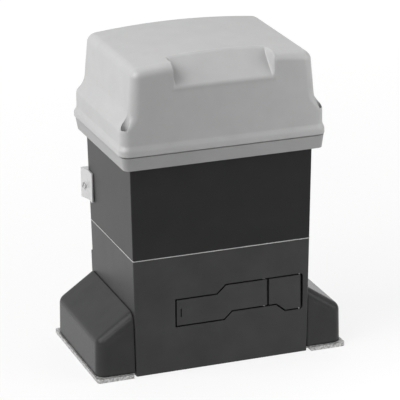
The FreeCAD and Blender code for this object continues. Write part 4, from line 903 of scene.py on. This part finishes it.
def screwAxes(look, turn):
    # Three square unit vectors, the last along the look and the first two turned round it:
    # a cos t + b sin t and b cos t - a sin t
    up = unitVector(look)
    upright = abs(up[2]) > 0.9  # too near to Z for a cross product with it
    first = unitVector([1.0, 0.0, 0.0] if upright else np.cross([0.0, 0.0, 1.0], up))
    second = np.cross(up, first)
    cosTurn, sinTurn = math.cos(math.radians(turn)), math.sin(math.radians(turn))
    return np.stack([first * cosTurn + second * sinTurn, second * cosTurn - first * sinTurn, up])


def screwGrid(screw, place, look, turn):
    # Rings round the screw's axis. A slot of half width s crosses the head: on a ring of radius r
    # its edges stand at asin(s / r), where two columns fall to the slot's floor. The head is domed
    # as dome * (1 - (r / R)^2), and the rings go on round its edge and down the shank.
    radius, height, slot, edge = (screw[key] for key in ("radius", "height", "slot", "edge"))
    floorHeight = height - screw["deep"]
    bend = np.linspace(screw["edgeStart"], math.pi / 2, screw["edgeRings"])
    face = np.linspace(slot * screw["clear"], radius - edge, screw["faceRings"])
    ring = np.concatenate([face, radius - edge + edge * np.sin(bend)])
    drop = np.concatenate([np.zeros(len(face)), edge * (1 - np.cos(bend))])
    top = height + screw["dome"] * (1 - (ring / radius) ** 2) - drop
    slotEdge = np.arcsin(slot / ring)[:, None]
    slotAngle = np.linspace(-1, 1, screw["slotColumns"])[None] * slotEdge
    landShare = np.linspace(0, 1, screw["landColumns"])[None]
    landAngle = landShare * (math.pi - 2 * slotEdge) + slotEdge
    angle = np.concatenate(
        [slotAngle, landAngle, slotAngle + math.pi, landAngle + math.pi], axis=1
    )
    inSlot = np.tile(np.repeat([1.0, 0.0], [screw["slotColumns"], screw["landColumns"]]), 2)[None]
    level = top[:, None] * (1 - inSlot) + np.minimum(floorHeight, top[:, None]) * inSlot
    head = np.stack([ring[:, None] * np.cos(angle), ring[:, None] * np.sin(angle), level], axis=-1)
    centre = np.zeros_like(head[:1]) + np.array([0.0, 0.0, floorHeight])
    inner = head[:1].copy()
    inner[:, :, 2] = floorHeight
    under = head[-1:].copy()
    under[:, :, 2] = 0.0
    neck = under * np.array([screw["shank"] / radius, screw["shank"] / radius, 1.0])
    shankEnd = neck - np.array([0.0, 0.0, screw["length"]])
    tip = shankEnd * np.array([0.0, 0.0, 1.0])
    grid = np.concatenate([tip, shankEnd, neck, under, head[::-1], inner, centre])
    return grid @ screwAxes(look, turn) + np.array(place)


def makeScrews(shape, cover):
    # Sensor screws at their own places, cover screws upright on the floors of the wells
    sensor, lid = {**shape["head"], **shape["sensor"]}, {**shape["head"], **shape["cover"]}
    sensorGrids = [(screwGrid(sensor, *row), True) for row in shape["sensorPlaces"]]
    inward = cover["screwX"] / cover["wellX"]
    seats = [(x * inward, y, cover["wellFloor"]) for x, y in wellPlaces(cover)]
    upright = (0.0, 0.0, 1.0)
    coverGrids = [
        (screwGrid(lid, seat, upright, turn), True)
        for seat, turn in zip(seats, shape["coverTurns"])
    ]
    sets = (
        ("sensorScrews", sensorGrids, "sensor_screws"),
        ("coverScrews", coverGrids, "cover_screws"),
    )
    for name, grids, node in sets:
        piece = makePiece(name, grids, "boltSteel")
        faces = piece.data.polygons
        faces.foreach_set("use_smooth", np.zeros(len(faces), dtype=bool))
        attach(piece, "housing")
        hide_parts(node)


makeScrews(screwShape, coverShape)
print("stage: screws")
